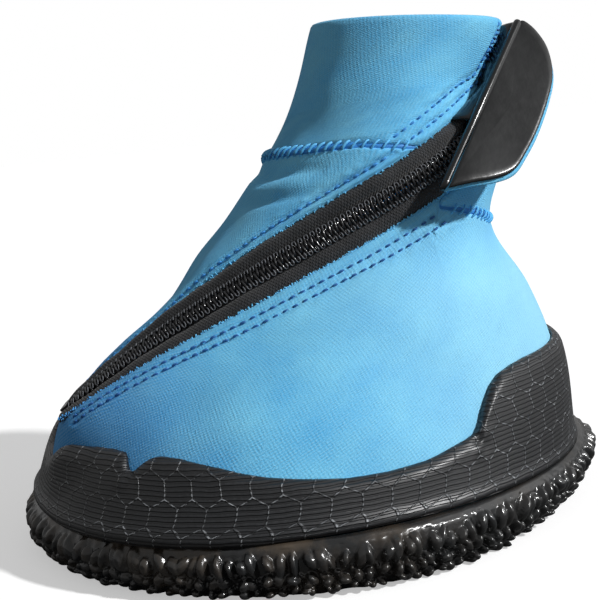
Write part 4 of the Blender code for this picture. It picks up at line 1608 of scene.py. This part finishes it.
    def bar_tack(self, inner: Line, outer: Line) -> Object:
        """Close cross stitches between the collar's two rows, just under the rim.

        Args:
            inner: row nearer to the opening.
            outer: row further from it.

        Returns:
            The piece.
        """
        parts = []
        share = np.linspace(0.0, 1.0, 9)
        for k in range(7):
            near, far = -4 - 2 * k, -5 - 2 * k
            angle, rise = (a[near] + (b[far] - a[near]) * share for a, b in zip(inner, outer))
            lift = (0.16 - 0.5 * np.abs(2 * share - 1) ** 6) * MM
            parts.append(tube(self.form.skin(angle, rise, lift), 5, 0.24 * MM))
        return mesh_piece("collar_bar_tack", *merged(parts))

    def build(self, finishes: Finishes) -> None:
        """Make the panels, the collar and their stitching.

        Args:
            finishes: materials of the pieces.
        """
        lines = self.panel_lines()
        for piece, node in ((self.far_panel(lines["far"]), "far_side_panel"),
                            (self.near_panel(lines["near"]), "near_side_panel"),
                            (self.collar(lines["collar"]), "collar")):
            fit(piece, Body.BOOT, finishes.neoprene, [node])
        fit(self.seam_cord(), Body.BOOT, finishes.pale_thread)
        fit(self.seam_threads(), Body.BOOT, finishes.seam_thread)
        fit(self.fuzz(), Body.BOOT, finishes.neoprene)
        fit(self.bar_tack(*lines["collar"]), Body.BOOT, finishes.thread)
        for name, rows in lines.items():
            threads = merged([StitchRow(row).build(self.form) for row in rows])
            thread = finishes.thread if name == "near" else finishes.pale_thread
            fit(mesh_piece(f"{name}_stitches", *threads), Body.BOOT, thread)


@dataclass
class Rand:
    """Ribbed rubber rand, high at the toe cap and the heel counter, with a notch between."""

    form: BootForm
    standoff: float = 1.0 * MM
    thickness: float = 1.9 * MM
    rounding: float = 0.9 * MM
    foot_flare: float = 0.7 * MM
    # How far the top edge is drawn in, and how far the toe cap is
    snug: float = 1.2 * MM
    tight: float = 0.8 * MM
    # Angles in degrees at which the top edge turns sharply and the rubber buckles
    notch: float = 36.6
    step: float = 109.5
    columns: int = 960
    # Angle in degrees and height in millimetres along the top edge
    edge: tuple = (
        (0, 24.0), (9, 25.0), (12.5, 26.5), (15.2, 28.2), (17.5, 29.3), (20.7, 30.2), (25.3, 31.3),
        (30, 31.8), (34.0, 31.6), (35.0, 30.6), (36.6, 28.0), (37.7, 27.7), (38.6, 28.3), (40, 29.8),
        (41.5, 30.8), (43.7, 31.4), (48.3, 31.0), (52.4, 30.1), (57.9, 28.9), (61.6, 27.8), (67.1, 26.5),
        (72.6, 25.6), (82.3, 24.3), (90, 24.2), (97.4, 24.8), (100.7, 25.6), (103.4, 26.4), (106.2, 27.1),
        (108.9, 28.1), (110.0, 29.9), (111.0, 32.7), (112.3, 35.3), (114, 37.8), (116.7, 39.9),
        (120.9, 40.9), (126.8, 41.5), (146.6, 41.5), (180, 41.7),
    )

    def build(self, finishes: Finishes) -> None:
        """Make the rand.

        Args:
            finishes: materials of the pieces.
        """
        table = np.array(self.edge)
        angle = np.linspace(-math.pi, math.pi, self.columns, endpoint=False)
        turn = np.degrees(angle)
        height = np.interp(np.abs(turn), table[:, 0], table[:, 1]) * MM - self.form.floor
        share = np.concatenate((np.linspace(0, 0.93, 26), (0.955, 0.975, 0.99, 1.0)))[:, None]
        rise = self.form.rise_at(height * share)
        flare = self.foot_flare * bell(height * share, 1.6 * MM)
        # The top edge hugs the neoprene, and the toe cap is drawn tight
        snug = self.snug * bell(height * (1 - share), 1.6 * MM)
        tight = self.tight * bell(turn, 30)
        grid = self.form.skin(np.broadcast_to(angle, rise.shape), rise,
                              self.standoff + self.thickness + flare - snug - tight)
        # The foot turns down over the sole's shoulder wherever it stands out past it
        foot = grid[:1].copy()
        foot[0, :, 2] = np.minimum(self.form.floor, Outsole().shoulder_at(foot[0]) + 0.25 * MM)
        grid[0, :, 2] = self.form.floor + 0.3 * MM
        grid = np.concatenate((foot, grid))
        uv = arc_uv(np.concatenate((grid, grid[:, :1]), 1), self.columns // 2)[:, :-1]
        uv[..., 1] = (grid[..., 2] - self.form.floor) / MM * 1.03
        # Small buckles where the edge turns sharply, fading towards the foot
        up = np.vstack(((0.0,), share))
        buckle = (bell(turn - self.notch, 2.2) + bell(turn - self.step, 2.4)) * up ** 3
        relief = (buckle * 0.7 * MM * soft_noise(grid, 2.2 * MM, 41)
                  + 0.06 * MM * soft_noise(grid, 12 * MM, 42))
        piece = Wall("rand_skin", grid, self.thickness, self.rounding, uv, closed=True, relief=relief).build()
        fit(piece, Body.BOOT, finishes.rand, ["rubber_rand"])


@dataclass
class Outsole:
    """Outsole: a sloping shoulder over a side of glossy knobs, and bevelled tread blocks underneath."""

    length: float = 164.0 * MM
    width: float = 156.0 * MM
    power: float = 1.85
    breadth: float = 0.08
    side_top: float = 12.2 * MM
    columns: int = 1750
    rows: int = 46
    block: float = 25.0 * MM
    groove: float = 4.5 * MM
    tread: float = 4.0 * MM
    block_margin: float = 5.6 * MM
    blocks_aside: int = 3
    # How much fuller the side is at the toe, and how far it is drawn in under the heel
    toe_fullness: float = 1.7 * MM
    heel_tuck: float = 3.2 * MM
    # Inset and height of the shoulder in millimetres
    shoulder: tuple = ((30.0, 13.2), (10.0, 13.2), (5.6, 13.25), (4.3, 13.25), (3.7, 12.9), (3.3, 12.4))
    # Height and inset of the side between the knobs in millimetres
    side: tuple = ((12.2, 3.2), (11.6, 2.9), (10.0, 2.6), (8.6, 2.6), (6.0, 3.1), (3.0, 4.1), (0.0, 5.6))
    # Level, pitch, half width, half height and height off the side of each band of knobs, in millimetres
    bands: tuple = ((5.9, 2.3, 0.8, 0.9, 1.4), (3.0, 2.5, 0.8, 0.8, 1.5), (8.6, 3.05, 1.45, 3.0, 2.9),
                    (4.4, 3.1, 1.45, 1.9, 3.4), (1.5, 2.9, 1.40, 1.5, 3.4))

    def ring(self, angle: Array, inset: Array | float, height: Array | float) -> Array:
        """Points of the outline, drawn in and lifted.

        Args:
            angle: angles round the sole.
            inset: how far the outline is drawn in.
            height: height of the points.

        Returns:
            Points.
        """
        across, along = BootForm.plan_unit(angle, self.power, self.breadth)
        return np.stack(((self.width / 2 - inset) * across, -(self.length / 2 - inset) * along,
                         np.broadcast_to(height, np.shape(angle))), -1)

    def shoulder_at(self, points: Array) -> Array:
        """Height of the shoulder under points, from how far in they lie.

        Args:
            points: one point per row.

        Returns:
            Heights.
        """
        y = -points[:, 1] / (self.length / 2)
        x = points[:, 0] / (self.width / 2)
        share = np.ones(len(points))
        # The breadth depends on the share that is sought, so a few rounds settle it
        for _ in range(6):
            wide = 1 + self.breadth * np.clip(y / share, -1, 1)
            share = (np.abs(x / wide) ** self.power + np.abs(y) ** self.power) ** (1 / self.power)
        inset = (1 - share) * self.length / 2 / MM
        table = np.array(self.shoulder[::-1])
        return np.interp(inset, table[:, 0], table[:, 1]) * MM

    def knobs(self, run: Array, heights: Array, total: float) -> Array:
        """How far the knobs stand out of the side.

        Args:
            run: distance along the outline of each column.
            heights: height of each row.
            total: length of the outline.

        Returns:
            Outward distance by row and column.
        """
        rng = np.random.default_rng(7)
        out = np.zeros((len(heights), len(run)))
        for level, pitch, half, tall_half, high in self.bands:
            count = int(total / (pitch * MM))
            for k in range(count):
                centre = (k + rng.uniform(-0.4, 0.4)) * total / count
                z = (level + rng.uniform(-0.9, 0.7)) * MM
                wide = half * rng.uniform(0.75, 1.35) * MM
                tall = tall_half * rng.uniform(0.65, 1.25) * MM
                lean = rng.uniform(-0.5, 0.5)
                peak = high * rng.uniform(0.6, 1.0) * MM
                gap = (run - centre + total / 2) % total - total / 2
                near = np.nonzero(np.abs(gap) < 3.2 * MM)[0]
                up = heights[:, None] - z
                dist = np.sqrt(((gap[near][None] - lean * up) / wide) ** 2 + (up / tall) ** 2)
                cap = peak * np.clip(1 - dist ** 2.2, 0, 1) ** 0.6
                out[:, near] = np.maximum(out[:, near], cap)
        return out

    def shell(self) -> Object:
        """Body of the sole, from its top over the shoulder and down the side to the tread's floor.

        Returns:
            The piece.
        """
        angle = np.linspace(0, 2 * math.pi, self.columns, endpoint=False)
        outline = self.ring(angle, 0.0, 0.0)
        steps = np.linalg.norm(np.roll(outline, -1, 0) - outline, axis=1)
        run = np.concatenate(((0.0,), steps.cumsum()[:-1]))
        # The flat top, above 13 mm, is smooth, and the slope below it is lumpy
        lumps = 1 - soft_noise(outline, 3.2 * MM, 22)
        rings = [self.ring(angle, inset * MM + 0.12 * MM * (height < 13) * lumps, height * MM)
                 for inset, height in self.shoulder]
        heights = np.linspace(self.side_top, 0.0, self.rows)
        toe = np.clip((-outline[:, 1] - 42 * MM) / (32 * MM), 0, 1)
        knob = self.knobs(run, heights, float(steps.sum())) * (1 - 0.45 * toe)
        levels, insets = np.array(self.side[::-1]).T
        base = np.interp(heights / MM, levels, insets) * MM
        fine = 0.10 * MM * soft_noise(outline, 1.2 * MM, 23, 12)
        uneven = np.clip(0.25 * MM * (1 + soft_noise(outline, 2.8 * MM, 24)), 0, 0.5 * MM)
        heel = self.heel_tuck * np.clip((outline[:, 1] - 20 * MM) / (35 * MM), 0, 1)
        for k, height in enumerate(heights):
            under = heel * (1 - min(1.0, height / (9.5 * MM)))
            lifted = height + uneven * (1 - height / self.side_top) ** 3
            swell = math.sin(math.pi * min(1.0, (height + 1.5 * MM) / (13.7 * MM)))
            inset = base[k] + under - knob[k] * min(1.0, k / 3) - fine - self.toe_fullness * toe * swell
            rings.append(self.ring(angle, np.maximum(inset, 0.05 * MM), lifted))
        # Under the side, the sole turns in to the floor of the tread
        inner = insets[0] * MM + heel
        rings.append(self.ring(angle, inner + 1.0 * MM - 0.5 * knob[-1], 0.3 * uneven))
        rings.append(self.ring(angle, inner + 2.2 * MM, 0.4 * MM))
        rings.append(self.ring(angle, inner + 2.8 * MM, self.tread))
        return mesh_piece("sole_knobs", *capped(np.array(rings)))

    def inside(self, points: Array) -> Array:
        """Whether plan points lie inside the knobs.

        Args:
            points: places across and along, one per row.

        Returns:
            One answer for each point.
        """
        inset = self.side[-1][1] * MM + self.block_margin
        y = points[:, 1] / (self.length / 2 - inset)
        wide = (self.width / 2 - inset) * (1 - self.breadth * y)
        return np.abs(points[:, 0] / wide) ** self.power + np.abs(y) ** self.power < 1

    def reach(self, middle: Array, square: Array, most: float) -> tuple[Array, bool]:
        """How far a block can grow from its middle towards each point of its outline.

        Args:
            middle: middle of the block in plan.
            square: outline of a whole block about its middle.
            most: share of the outline at which it stops.

        Returns:
            The share reached at each point, and whether the middle itself lies inside the knobs.
        """
        share = np.linspace(0, 1, 25)
        fits = np.array([self.inside(middle + square * s * most) for s in share])
        return share[np.maximum(fits.cumprod(0).sum(0) - 1, 0)] * most, bool(fits[0].all())

    def blocks(self) -> Object:
        """Tread blocks between the grooves, with bevelled edges, kept inside the knobs.

        Returns:
            The piece.
        """
        parts = []
        half = (self.block - self.groove) / 2
        turn = np.linspace(0, 2 * math.pi, 40, endpoint=False)
        square = np.stack(BootForm.plan_unit(turn, 9.0, 0.0), -1) * half
        # How much smaller the block is at each height, from the sole down to the ground
        bevel = ((0.0, self.tread + 0.3 * MM), (0.0, 0.8 * MM), (0.25, 0.25 * MM), (0.8, 0.0), (3.5, 0.0))
        places = range(-self.blocks_aside, self.blocks_aside + 1)
        for i in places:
            for j in places:
                middle = np.array((i * self.block, j * self.block))
                reach, within = self.reach(middle, square, 1.0)
                if not within:
                    # A block whose middle lies outside is pulled in and made smaller
                    middle = middle * 0.86
                    reach, within = self.reach(middle, square, 0.7)
                if reach.mean() < 0.3 or not within:
                    continue
                sizes = [np.maximum(reach - shrink * MM / half, 0.02)[:, None] for shrink, _ in bevel]
                parts.append(capped(np.array([
                    np.column_stack((middle + square * size, np.full(len(square), height)))
                    for size, (_, height) in zip(sizes, bevel)])))
        return mesh_piece("tread_blocks", *merged(parts))

    def build(self, finishes: Finishes) -> None:
        """Make the sole.

        Args:
            finishes: materials of the pieces.
        """
        fit(self.shell(), Body.BOOT, finishes.sole, ["outsole"])
        fit(self.blocks(), Body.BOOT, finishes.sole)


@dataclass
class Footbed:
    """Foam footbed: a crowned pad whose edge turns down at the wall of the boot."""

    form: BootForm
    base: float = 15.9 * MM
    thickness: float = 5.0 * MM
    inset: float = 5.6 * MM
    columns: int = 120
    # Inset and height of each loop over the pad, in millimetres
    profile: tuple = ((0.0, 0.2), (-0.4, 1.2), (-0.3, 3.4), (0.6, 4.6), (2.2, 5.0), (6, 4.8), (14, 4.4),
                      (28, 4.1), (46, 4.0))

    def build(self, finishes: Finishes) -> None:
        """Make the footbed.

        Args:
            finishes: materials of the pieces.
        """
        angle = np.linspace(0, 2 * math.pi, self.columns, endpoint=False)
        rise = self.form.rise_at(self.base + self.thickness - self.form.floor)
        plan = self.form.face(angle, np.broadcast_to(rise, angle.shape))[:, :2]
        middle = plan.mean(0)
        radius = np.linalg.norm(plan - middle, axis=1, keepdims=True)
        loops = [np.column_stack((middle + (plan - middle) * (radius - self.inset - d * MM) / radius,
                                  np.full(len(plan), self.base + h * MM))) for d, h in self.profile]
        piece = mesh_piece("footbed_pad", *capped(np.array(loops)))
        fit(piece, Body.BOOT, finishes.footbed, ["footbed"])


@dataclass
class Zip:
    """Coil zip: two woven tapes and two rows of nylon coil in mesh."""

    track: ZipTrack
    pitch: float = 1.77 * MM
    wire: float = 0.32 * MM
    thread: float = 0.15 * MM
    tape_thickness: float = 0.4 * MM
    # Length at the toe end that has no coil
    tail: float = 2.6 * MM
    # Place across the tape and height of its face, in millimetres
    tape_profile: tuple = ((0.15, -1.15), (1.0, -1.15), (2.1, -1.1), (2.8, -0.7), (3.2, -0.25), (3.9, 0.1),
                           (4.7, 0.25), (5.4, 0.1), (6.1, -0.2), (6.8, -0.7), (7.3, -1.1))
    # Place across and height in millimetres, and share of the pitch, of each point of a turn of coil
    loop: tuple = (
        (2.35, -0.75, 0.00), (2.45, -0.20, 0.06), (2.05, 0.18, 0.12), (1.25, 0.26, 0.20), (0.40, 0.42, 0.28),
        (-0.22, 0.46, 0.34), (-0.62, 0.05, 0.42), (-0.62, -0.55, 0.50), (-0.20, -0.92, 0.58),
        (0.60, -1.05, 0.68), (1.60, -1.05, 0.84),
    )
    # The same for the thread that holds a turn down
    hook: tuple = ((1.30, 0.62, 0.62), (1.75, 0.68, 0.52), (2.30, 0.55, 0.50), (2.62, 0.15, 0.64),
                   (2.60, 0.05, 0.92), (2.20, 0.42, 1.06), (1.70, 0.55, 1.04))

    def tape(self, side: Side) -> Object:
        """Woven tape from under the coil to under the neoprene, with a soft fold along it.

        Args:
            side: side of the zip.

        Returns:
            The piece.
        """
        stations = np.linspace(self.track.tape_start - 0.5 * MM, self.track.end, 230)
        across, crown = np.array(self.tape_profile).T * MM
        if side is Side.UPPER:
            crown = crown + 0.55 * MM * bell(across - 5.0 * MM, 1.1 * MM)
        rows = []
        for s in stations:
            sway = 0.22 * MM * math.sin(s / MM * 0.21 + side.value) + 0.12 * MM * math.sin(s / MM * 0.57)
            rows.append([self.track.place(s, side.value * a, h - 0.45 * MM + sway * min(1.0, a / (4 * MM)))
                         for a, h in zip(across, crown)])
        grid = np.array(rows)
        uv = np.stack(np.broadcast_arrays(stations[:, None] / MM, across[None] / MM), -1)
        if side is Side.UPPER:
            grid, uv = grid[:, ::-1], uv[:, ::-1]
        return Wall(f"zip_tape_{side.name.lower()}_cloth", grid, self.tape_thickness, 0.3 * MM, uv).build()

    def turns(self, side: Side, shape: tuple) -> Array:
        """Repeat the points of one turn along a row of coil.

        Args:
            side: side of the zip. The lower row is half a pitch behind.
            shape: points of a turn.

        Returns:
            Points by turn and place in the turn.
        """
        shift = 0.0 if side is Side.UPPER else 0.5
        start = self.track.chain_start
        count = int((self.track.end - self.tail - start) / self.pitch)
        return np.array([[self.track.place(start + (k + shift + run) * self.pitch,
                                           side.value * a * MM, h * MM)
                          for a, h, run in shape] for k in range(count)])

    def coil(self, side: Side) -> Object:
        """One row of coil: each turn goes over the tape, bulges at its head and comes back below.

        Args:
            side: side of the zip.

        Returns:
            The piece.
        """
        path = self.turns(side, self.loop).reshape(-1, 3)
        step = self.pitch / len(self.loop)
        guide = np.array([self.track.frame(float(self.track.chain_start + i * step))[1]
                          for i in range(len(path))])
        return mesh_piece(f"zip_coil_{side.name.lower()}", *tube(path, 7, self.wire, guide))

    def sewing(self, side: Side) -> Object:
        """Thread that holds the coil to its tape: a small hook over each turn."""
        parts = [tube(path, 5, self.thread) for path in self.turns(side, self.hook)]
        return mesh_piece(f"zip_sewing_{side.name.lower()}", *merged(parts))

    def build(self, finishes: Finishes) -> None:
        """Make the tapes, the coils and their sewing.

        Args:
            finishes: materials of the pieces.
        """
        for side in Side:
            name = side.name.lower()
            fit(self.tape(side), Body.BOOT, finishes.tape, [f"zip_tape_{name}"])
            fit(self.coil(side), Body.BOOT, finishes.coil, [f"zip_chain_{name}"])
            fit(self.sewing(side), Body.BOOT, finishes.tape_thread)


@dataclass
class ClosureTab:
    """Closure tab: a blue neoprene flap with a slick black facing, rooted along the collar's front edge."""

    form: BootForm
    openings: Openings
    root_run: float = 27.0 * MM
    standoff: float = 5.4 * MM
    open_angle: float = math.radians(45.0)
    length: float = 63.0 * MM
    breadth: float = 17.2 * MM
    # Share of the length that lies below the foot of the hinge line
    foot_share: float = 0.43
    # Angle and rise of the collar's face that the tab's hinge stands off
    facing_point: tuple[float, float] = (math.radians(131.0), 0.87)
    neoprene: float = 2.1 * MM
    facing: float = 1.0 * MM
    facing_margin: float = 0.7 * MM
    # Gap and facing thickness that the layers are centred with
    stack: float = 0.9 * MM
    root_thickness: float = 0.9 * MM
    runs: tuple = (0.00, 0.07, 0.14, 0.22, 0.33, 0.47, 0.64, 0.78, 0.90, 0.97, 1.00, 0.99)
    reaches: tuple = (0.06, 0.37, 0.68, 0.90, 0.97, 1.00, 0.97, 0.88, 0.64, 0.35, 0.10, 0.00)

    @functools.cached_property
    def frame(self) -> tuple[Array, Array, Array, Array, Array]:
        """The tab's own frame.

        Returns:
            Foot of the hinge line, and directions along it, outwards, of the tab's reach and of its face.
        """
        track = self.form.track
        foot = track.place(self.root_run, track.width / 2, 0.0)
        head = self.form.face(np.array(self.openings.front_angle), np.array(1.0))
        along = (head - foot) / np.linalg.norm(head - foot)
        angle, rise = self.facing_point
        out = self.form.normal(np.array(angle), np.array(rise))
        out = out - out.dot(along) * along
        out /= np.linalg.norm(out)
        back = np.cross(along, out)
        back = back if back[1] > 0 else -back
        reach = math.cos(self.open_angle) * back + math.sin(self.open_angle) * out
        face = np.cross(along, reach)
        face = face if face.dot(out) > 0 else -face
        return foot + self.standoff * out, along, out, reach, face

    def outline(self, margin: float, count: int = 140) -> Array:
        """Smooth outline of the flap in run and reach.

        Args:
            margin: how far it is drawn in.
            count: points on the curved part.

        Returns:
            Points of the closed outline.
        """
        points = np.stack(((np.array(self.runs) - self.foot_share) * self.length,
                           np.array(self.reaches) * self.breadth), -1)
        rail = smooth_rows(points, np.linspace(0, 1, count))
        base = np.linspace(rail[-1], rail[0], count // 2)[1:-1]
        middle = np.array(((0.5 - self.foot_share) * self.length, self.breadth / 2))
        size = np.array((self.length, self.breadth))
        return middle + (np.concatenate((rail, base)) - middle) * (1 - 2 * margin / size)

    def curl(self, plan: Array) -> Array:
        """How far the flap stands off its plane: lifted at the free corner, drawn in along the root.

        Args:
            plan: runs and reaches.

        Returns:
            Heights.
        """
        run, reach = plan[..., 0] / self.length, plan[..., 1] / self.breadth
        return (0.5 * MM * np.sin(3.1 * run + 0.6) * reach - 0.7 * MM * reach ** 2
                + 0.35 * MM * soft_noise(np.concatenate((plan, 0 * plan[..., :1]), -1), 16 * MM, 31))

    def slab(self, name: str, margin: float, base: float, thickness: float) -> Object:
        """Layer of the flap, with rounded edges, in the flap's plane.

        Args:
            name: name of the piece.
            margin: how far its outline is drawn in.
            base: height of its lower face.
            thickness: its thickness.

        Returns:
            The piece.
        """
        foot, along, _, reach, face = self.frame
        loop = self.outline(margin)
        middle = np.array(((0.52 - self.foot_share) * self.length, self.breadth * 0.45))
        scales = (1.0, 0.985, 0.95, 0.88, 0.76, 0.6, 0.4, 0.2, 0.06)
        # Both faces start at the same rim, and run in from it to a small cap
        loops = []
        for sign, scale in [(1, s) for s in scales] + [(-1, s) for s in scales[1:]]:
            plan = middle + (loop - middle) * scale
            edge = min(1.0, (1 - scale) * self.breadth / 2 / (thickness * 0.5))
            half = thickness / 2 * math.sqrt(max(0.0, 1 - (1 - edge) ** 2))
            height = base + thickness / 2 + sign * half + self.curl(plan)
            loops.append(foot + plan[:, :1] * along + plan[:, 1:] * reach + height[:, None] * face)
        index = np.arange(len(loops) * len(loop)).reshape(len(loops), len(loop))
        faces = []
        for block in (index[:len(scales)], np.vstack((index[:1], index[len(scales):]))):
            faces += [*ring_cells(block).reshape(-1, 4).tolist(), block[-1].tolist()]
        verts = np.concatenate(loops)
        uv = np.stack(((verts - foot) @ along, (verts - foot) @ reach), -1) / MM
        return mesh_piece(name, verts, faces, uv)

    def bead(self) -> Object:
        """Roll of the facing round the flap's root edge.

        Returns:
            The piece.
        """
        foot, along, _, reach, face = self.frame
        low, high = (0.005 - self.foot_share) * self.length, (0.985 - self.foot_share) * self.length
        runs = np.linspace(low, high, 70)
        ends = np.clip(np.minimum(runs - low, high - runs) / (2.2 * MM), 0, 1)
        size = np.sqrt(1 - (1 - ends) ** 2) * 0.97 + 0.03
        turn = np.linspace(0, 2 * math.pi, 22, endpoint=False)
        # A slight bow lets one stretch of the roll catch the light
        bow_length, bow_slope = 7 * MM, 0.085
        loops = []
        for run, scale in zip(runs, size):
            sway = bow_slope * bow_length * math.tanh((run - low - 0.45 * (high - low)) / bow_length)
            loops.append([foot + run * along + (0.75 * math.cos(a) + 0.35) * 1.75 * MM * scale * reach
                          + (1.62 * MM * math.sin(a) * scale + sway) * face for a in turn])
        return mesh_piece("tab_facing_roll", *capped(np.array(loops)))

    def root(self) -> Object:
        """Gusset that runs from under the collar's edge up to the flap's hinge line.

        Returns:
            The piece.
        """
        foot, along, out, reach, face = self.frame
        line = self.form.face(*self.openings.edges[Side.UPPER])
        at = (line - foot) @ along
        order = np.argsort(at)
        runs = np.linspace(-3.0 * MM, (1.0 - self.foot_share) * self.length * 0.97, 44)
        edge = np.stack([np.interp(runs, at[order], line[order, k]) for k in range(3)], -1)
        low = edge - 1.6 * MM * out
        top = foot + runs[:, None] * along + 0.6 * MM * reach - 0.2 * MM * face
        grid = np.array([low + (top - low) * share
                         + math.sin(math.pi * share) * 0.8 * MM * (out - 0.6 * reach)
                         for share in (0.0, 0.25, 0.5, 0.75, 1.0)])
        return Wall("tab_root_cloth", grid, self.root_thickness, 0.45 * MM, arc_uv(grid, 0)).build()

    def build(self, finishes: Finishes) -> None:
        """Make the flap, its facing and its root.

        Args:
            finishes: materials of the pieces.
        """
        base = -(self.neoprene + self.stack) / 2
        flap = fit(self.slab("tab_neoprene", 0.0, base, self.neoprene), Body.TAB, finishes.neoprene,
                   ["closure_tab"])
        # The facing sinks a little into the neoprene
        facing = self.slab("tab_facing_skin", self.facing_margin, base + self.neoprene - 0.25 * MM,
                           self.facing)
        fit(facing, Body.TAB, finishes.facing, ["tab_facing"])
        fit(self.bead(), Body.TAB, finishes.facing)
        root = self.root()
        root.data.materials.append(finishes.facing)
        foot, _, out, _, _ = self.frame
        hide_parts("tab_root")
        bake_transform(root)


@dataclass
class Lining:
    """Thin knit lining behind the slit."""

    form: BootForm
    standoff: float = 4.6 * MM
    thickness: float = 0.8 * MM
    # Angles in degrees and rises between which it lies
    angles: tuple[float, float] = (127.0, 191.0)
    rises: tuple[float, float] = (0.80, 0.985)

    def build(self, finishes: Finishes) -> None:
        """Make the lining.

        Args:
            finishes: materials of the pieces.
        """
        angle, rise = np.meshgrid(np.radians(np.linspace(*self.angles, 60)), np.linspace(*self.rises, 36))
        grid = self.form.skin(angle, rise, -self.standoff)
        lengths = arc_uv(grid, 0)
        piece = Wall("slit_lining_cloth", grid, self.thickness, 0.4 * MM, lengths).build()
        fit(piece, Body.BOOT, finishes.tape, ["slit_lining"])


# Stage


@dataclass(frozen=True)
class Studio:
    """Pale floor, white backdrop, one lamp and the photograph's camera."""

    azimuth: float = math.radians(74.94)
    elevation: float = math.radians(8.81)
    roll: float = math.radians(-5.76)
    distance: float = 352.25 * MM
    lens: float = 75.53
    aim_up: float = -3.03 * MM
    aim_height: float = 60.0 * MM
    sun_way: tuple[float, float, float] = (0.55, 0.59, 0.59)
    sun_energy: float = 3.5
    sun_angle: float = math.radians(3.5)
    gloss_way: tuple[float, float, float] = (0.30, 0.85, 0.43)
    floor_seen: str = "#dcdcdc"
    floor_lit: str = "#646464"
    floor_glow: float = 0.44

    def camera(self) -> None:
        """Place the camera at the photograph's viewpoint."""
        a, e = self.azimuth, self.elevation
        back = Vector((math.sin(a) * math.cos(e), -math.cos(a) * math.cos(e), math.sin(e)))
        right = Vector((math.cos(a), math.sin(a), 0.0))
        up = back.cross(right)
        spot = Vector((0.0, 0.0, self.aim_height)) + up * self.aim_up + back * self.distance
        across = right * math.cos(self.roll) + up * math.sin(self.roll)
        upright = up * math.cos(self.roll) - right * math.sin(self.roll)
        data = bpy.data.cameras.new("photo_camera")
        data.lens = self.lens
        data.sensor_width = 36.0
        data.clip_start = 0.01
        made = show("photo_camera", data)
        made.matrix_world = Matrix((
            (across.x, upright.x, back.x, spot.x), (across.y, upright.y, back.y, spot.y),
            (across.z, upright.z, back.z, spot.z), (0.0, 0.0, 0.0, 1.0)))
        bpy.context.scene.camera = made

    def sun(self) -> None:
        """Lamp from high on the right, as in the photograph."""
        data = bpy.data.lights.new("sun_lamp", "SUN")
        data.energy = self.sun_energy
        data.angle = self.sun_angle
        show("sun_lamp", data).rotation_euler = Vector(self.sun_way).to_track_quat("Z", "Y").to_euler()

    def floor(self) -> None:
        """Pale floor that keeps the boot's shadow."""
        mesh = bpy.data.meshes.new("studio_floor")
        mesh.from_pydata([(-4, -4, 0), (4, -4, 0), (4, 4, 0), (-4, 4, 0)], [], [(0, 1, 2, 3)])
        made = show("studio_floor", mesh)
        made.location.z = -0.2 * MM
        material, tree, shader = start_material("pale_floor")
        seen = add(tree, "LightPath").outputs["Is Camera Ray"]
        feed(shader, {
            "Base Color": add(tree, "Mix", {0: seen, 6: linear(self.floor_lit), 7: linear(self.floor_seen)},
                              data_type="RGBA"),
            "Emission Color": linear("#ffffff"),
            "Emission Strength": add(tree, "Math", {0: seen, 1: self.floor_glow}, operation="MULTIPLY"),
            "Roughness": 0.9,
        })
        mesh.materials.append(material)

    def world(self) -> None:
        """White backdrop for the camera, a soft box for gloss, and a gentle grey light for the rest."""
        world = bpy.data.worlds.new("studio")
        bpy.context.scene.world = world
        world.use_nodes = True
        tree = world.node_tree
        tree.nodes.clear()
        seen = add(tree, "LightPath")
        shown = add(tree, "Math", {0: seen.outputs["Is Camera Ray"], 1: seen.outputs["Is Transmission Ray"]},
                    operation="MAXIMUM")
        # Gloss mirrors a soft box low on the right, which lights nothing else
        toward = add(tree, "VectorMath", {0: add(tree, "TexCoord").outputs["Generated"], 1: self.gloss_way},
                     operation="DOT_PRODUCT")
        box = add(tree, "MapRange", {"Value": toward, "From Min": 0.76, "From Max": 0.90, "To Min": 0.42,
                                     "To Max": 1.6})
        gloss = add(tree, "MapRange", {"Value": seen.outputs["Is Glossy Ray"], "To Min": 0.20, "To Max": box})
        strength = add(tree, "MapRange", {"Value": shown, "To Min": gloss, "To Max": 1.0})
        light = add(tree, "Background", {"Color": (1, 1, 1, 1), "Strength": strength})
        add(tree, "OutputWorld", {"Surface": light})

    def build(self) -> None:
        """Make the camera, the floor, the backdrop and the lamp."""
        self.camera()
        self.floor()
        self.world()
        self.sun()
        bpy.context.scene.view_settings.view_transform = "Standard"


def dress_nodes(nodes: dict, finishes: Finishes) -> None:
    """Give the CAD nodes that stay their finishes.

    Args:
        nodes: CAD nodes by name.
        finishes: the finishes.
    """
    metal = ("zip_slider", "zip_pull", "zip_top_stop_upper", "zip_top_stop_lower", "zip_bottom_stop")
    for name, finish in (*((name, finishes.metal) for name in metal), ("insole_board", finishes.board)):
        nodes[name].data.materials.clear()
        nodes[name].data.materials.append(finish)
        LOG.info("%s: CAD node in %s", name, finish.name)


def main() -> None:
    """Build the stage, then the boot's pieces in order."""
    logging.basicConfig(level=logging.INFO, format="%(message)s")
    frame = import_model()
    form = BootForm()
    openings = Openings(form)
    finishes = Finishes()
    Studio().build()
    for part in (Upper(form, openings), Rand(form), Outsole(), Footbed(form), Zip(form.track),
                 ClosureTab(form, openings), Lining(form)):
        part.build(finishes)
    dress_nodes(frame["nodes"], finishes)


if __name__ == "__main__":
    main()
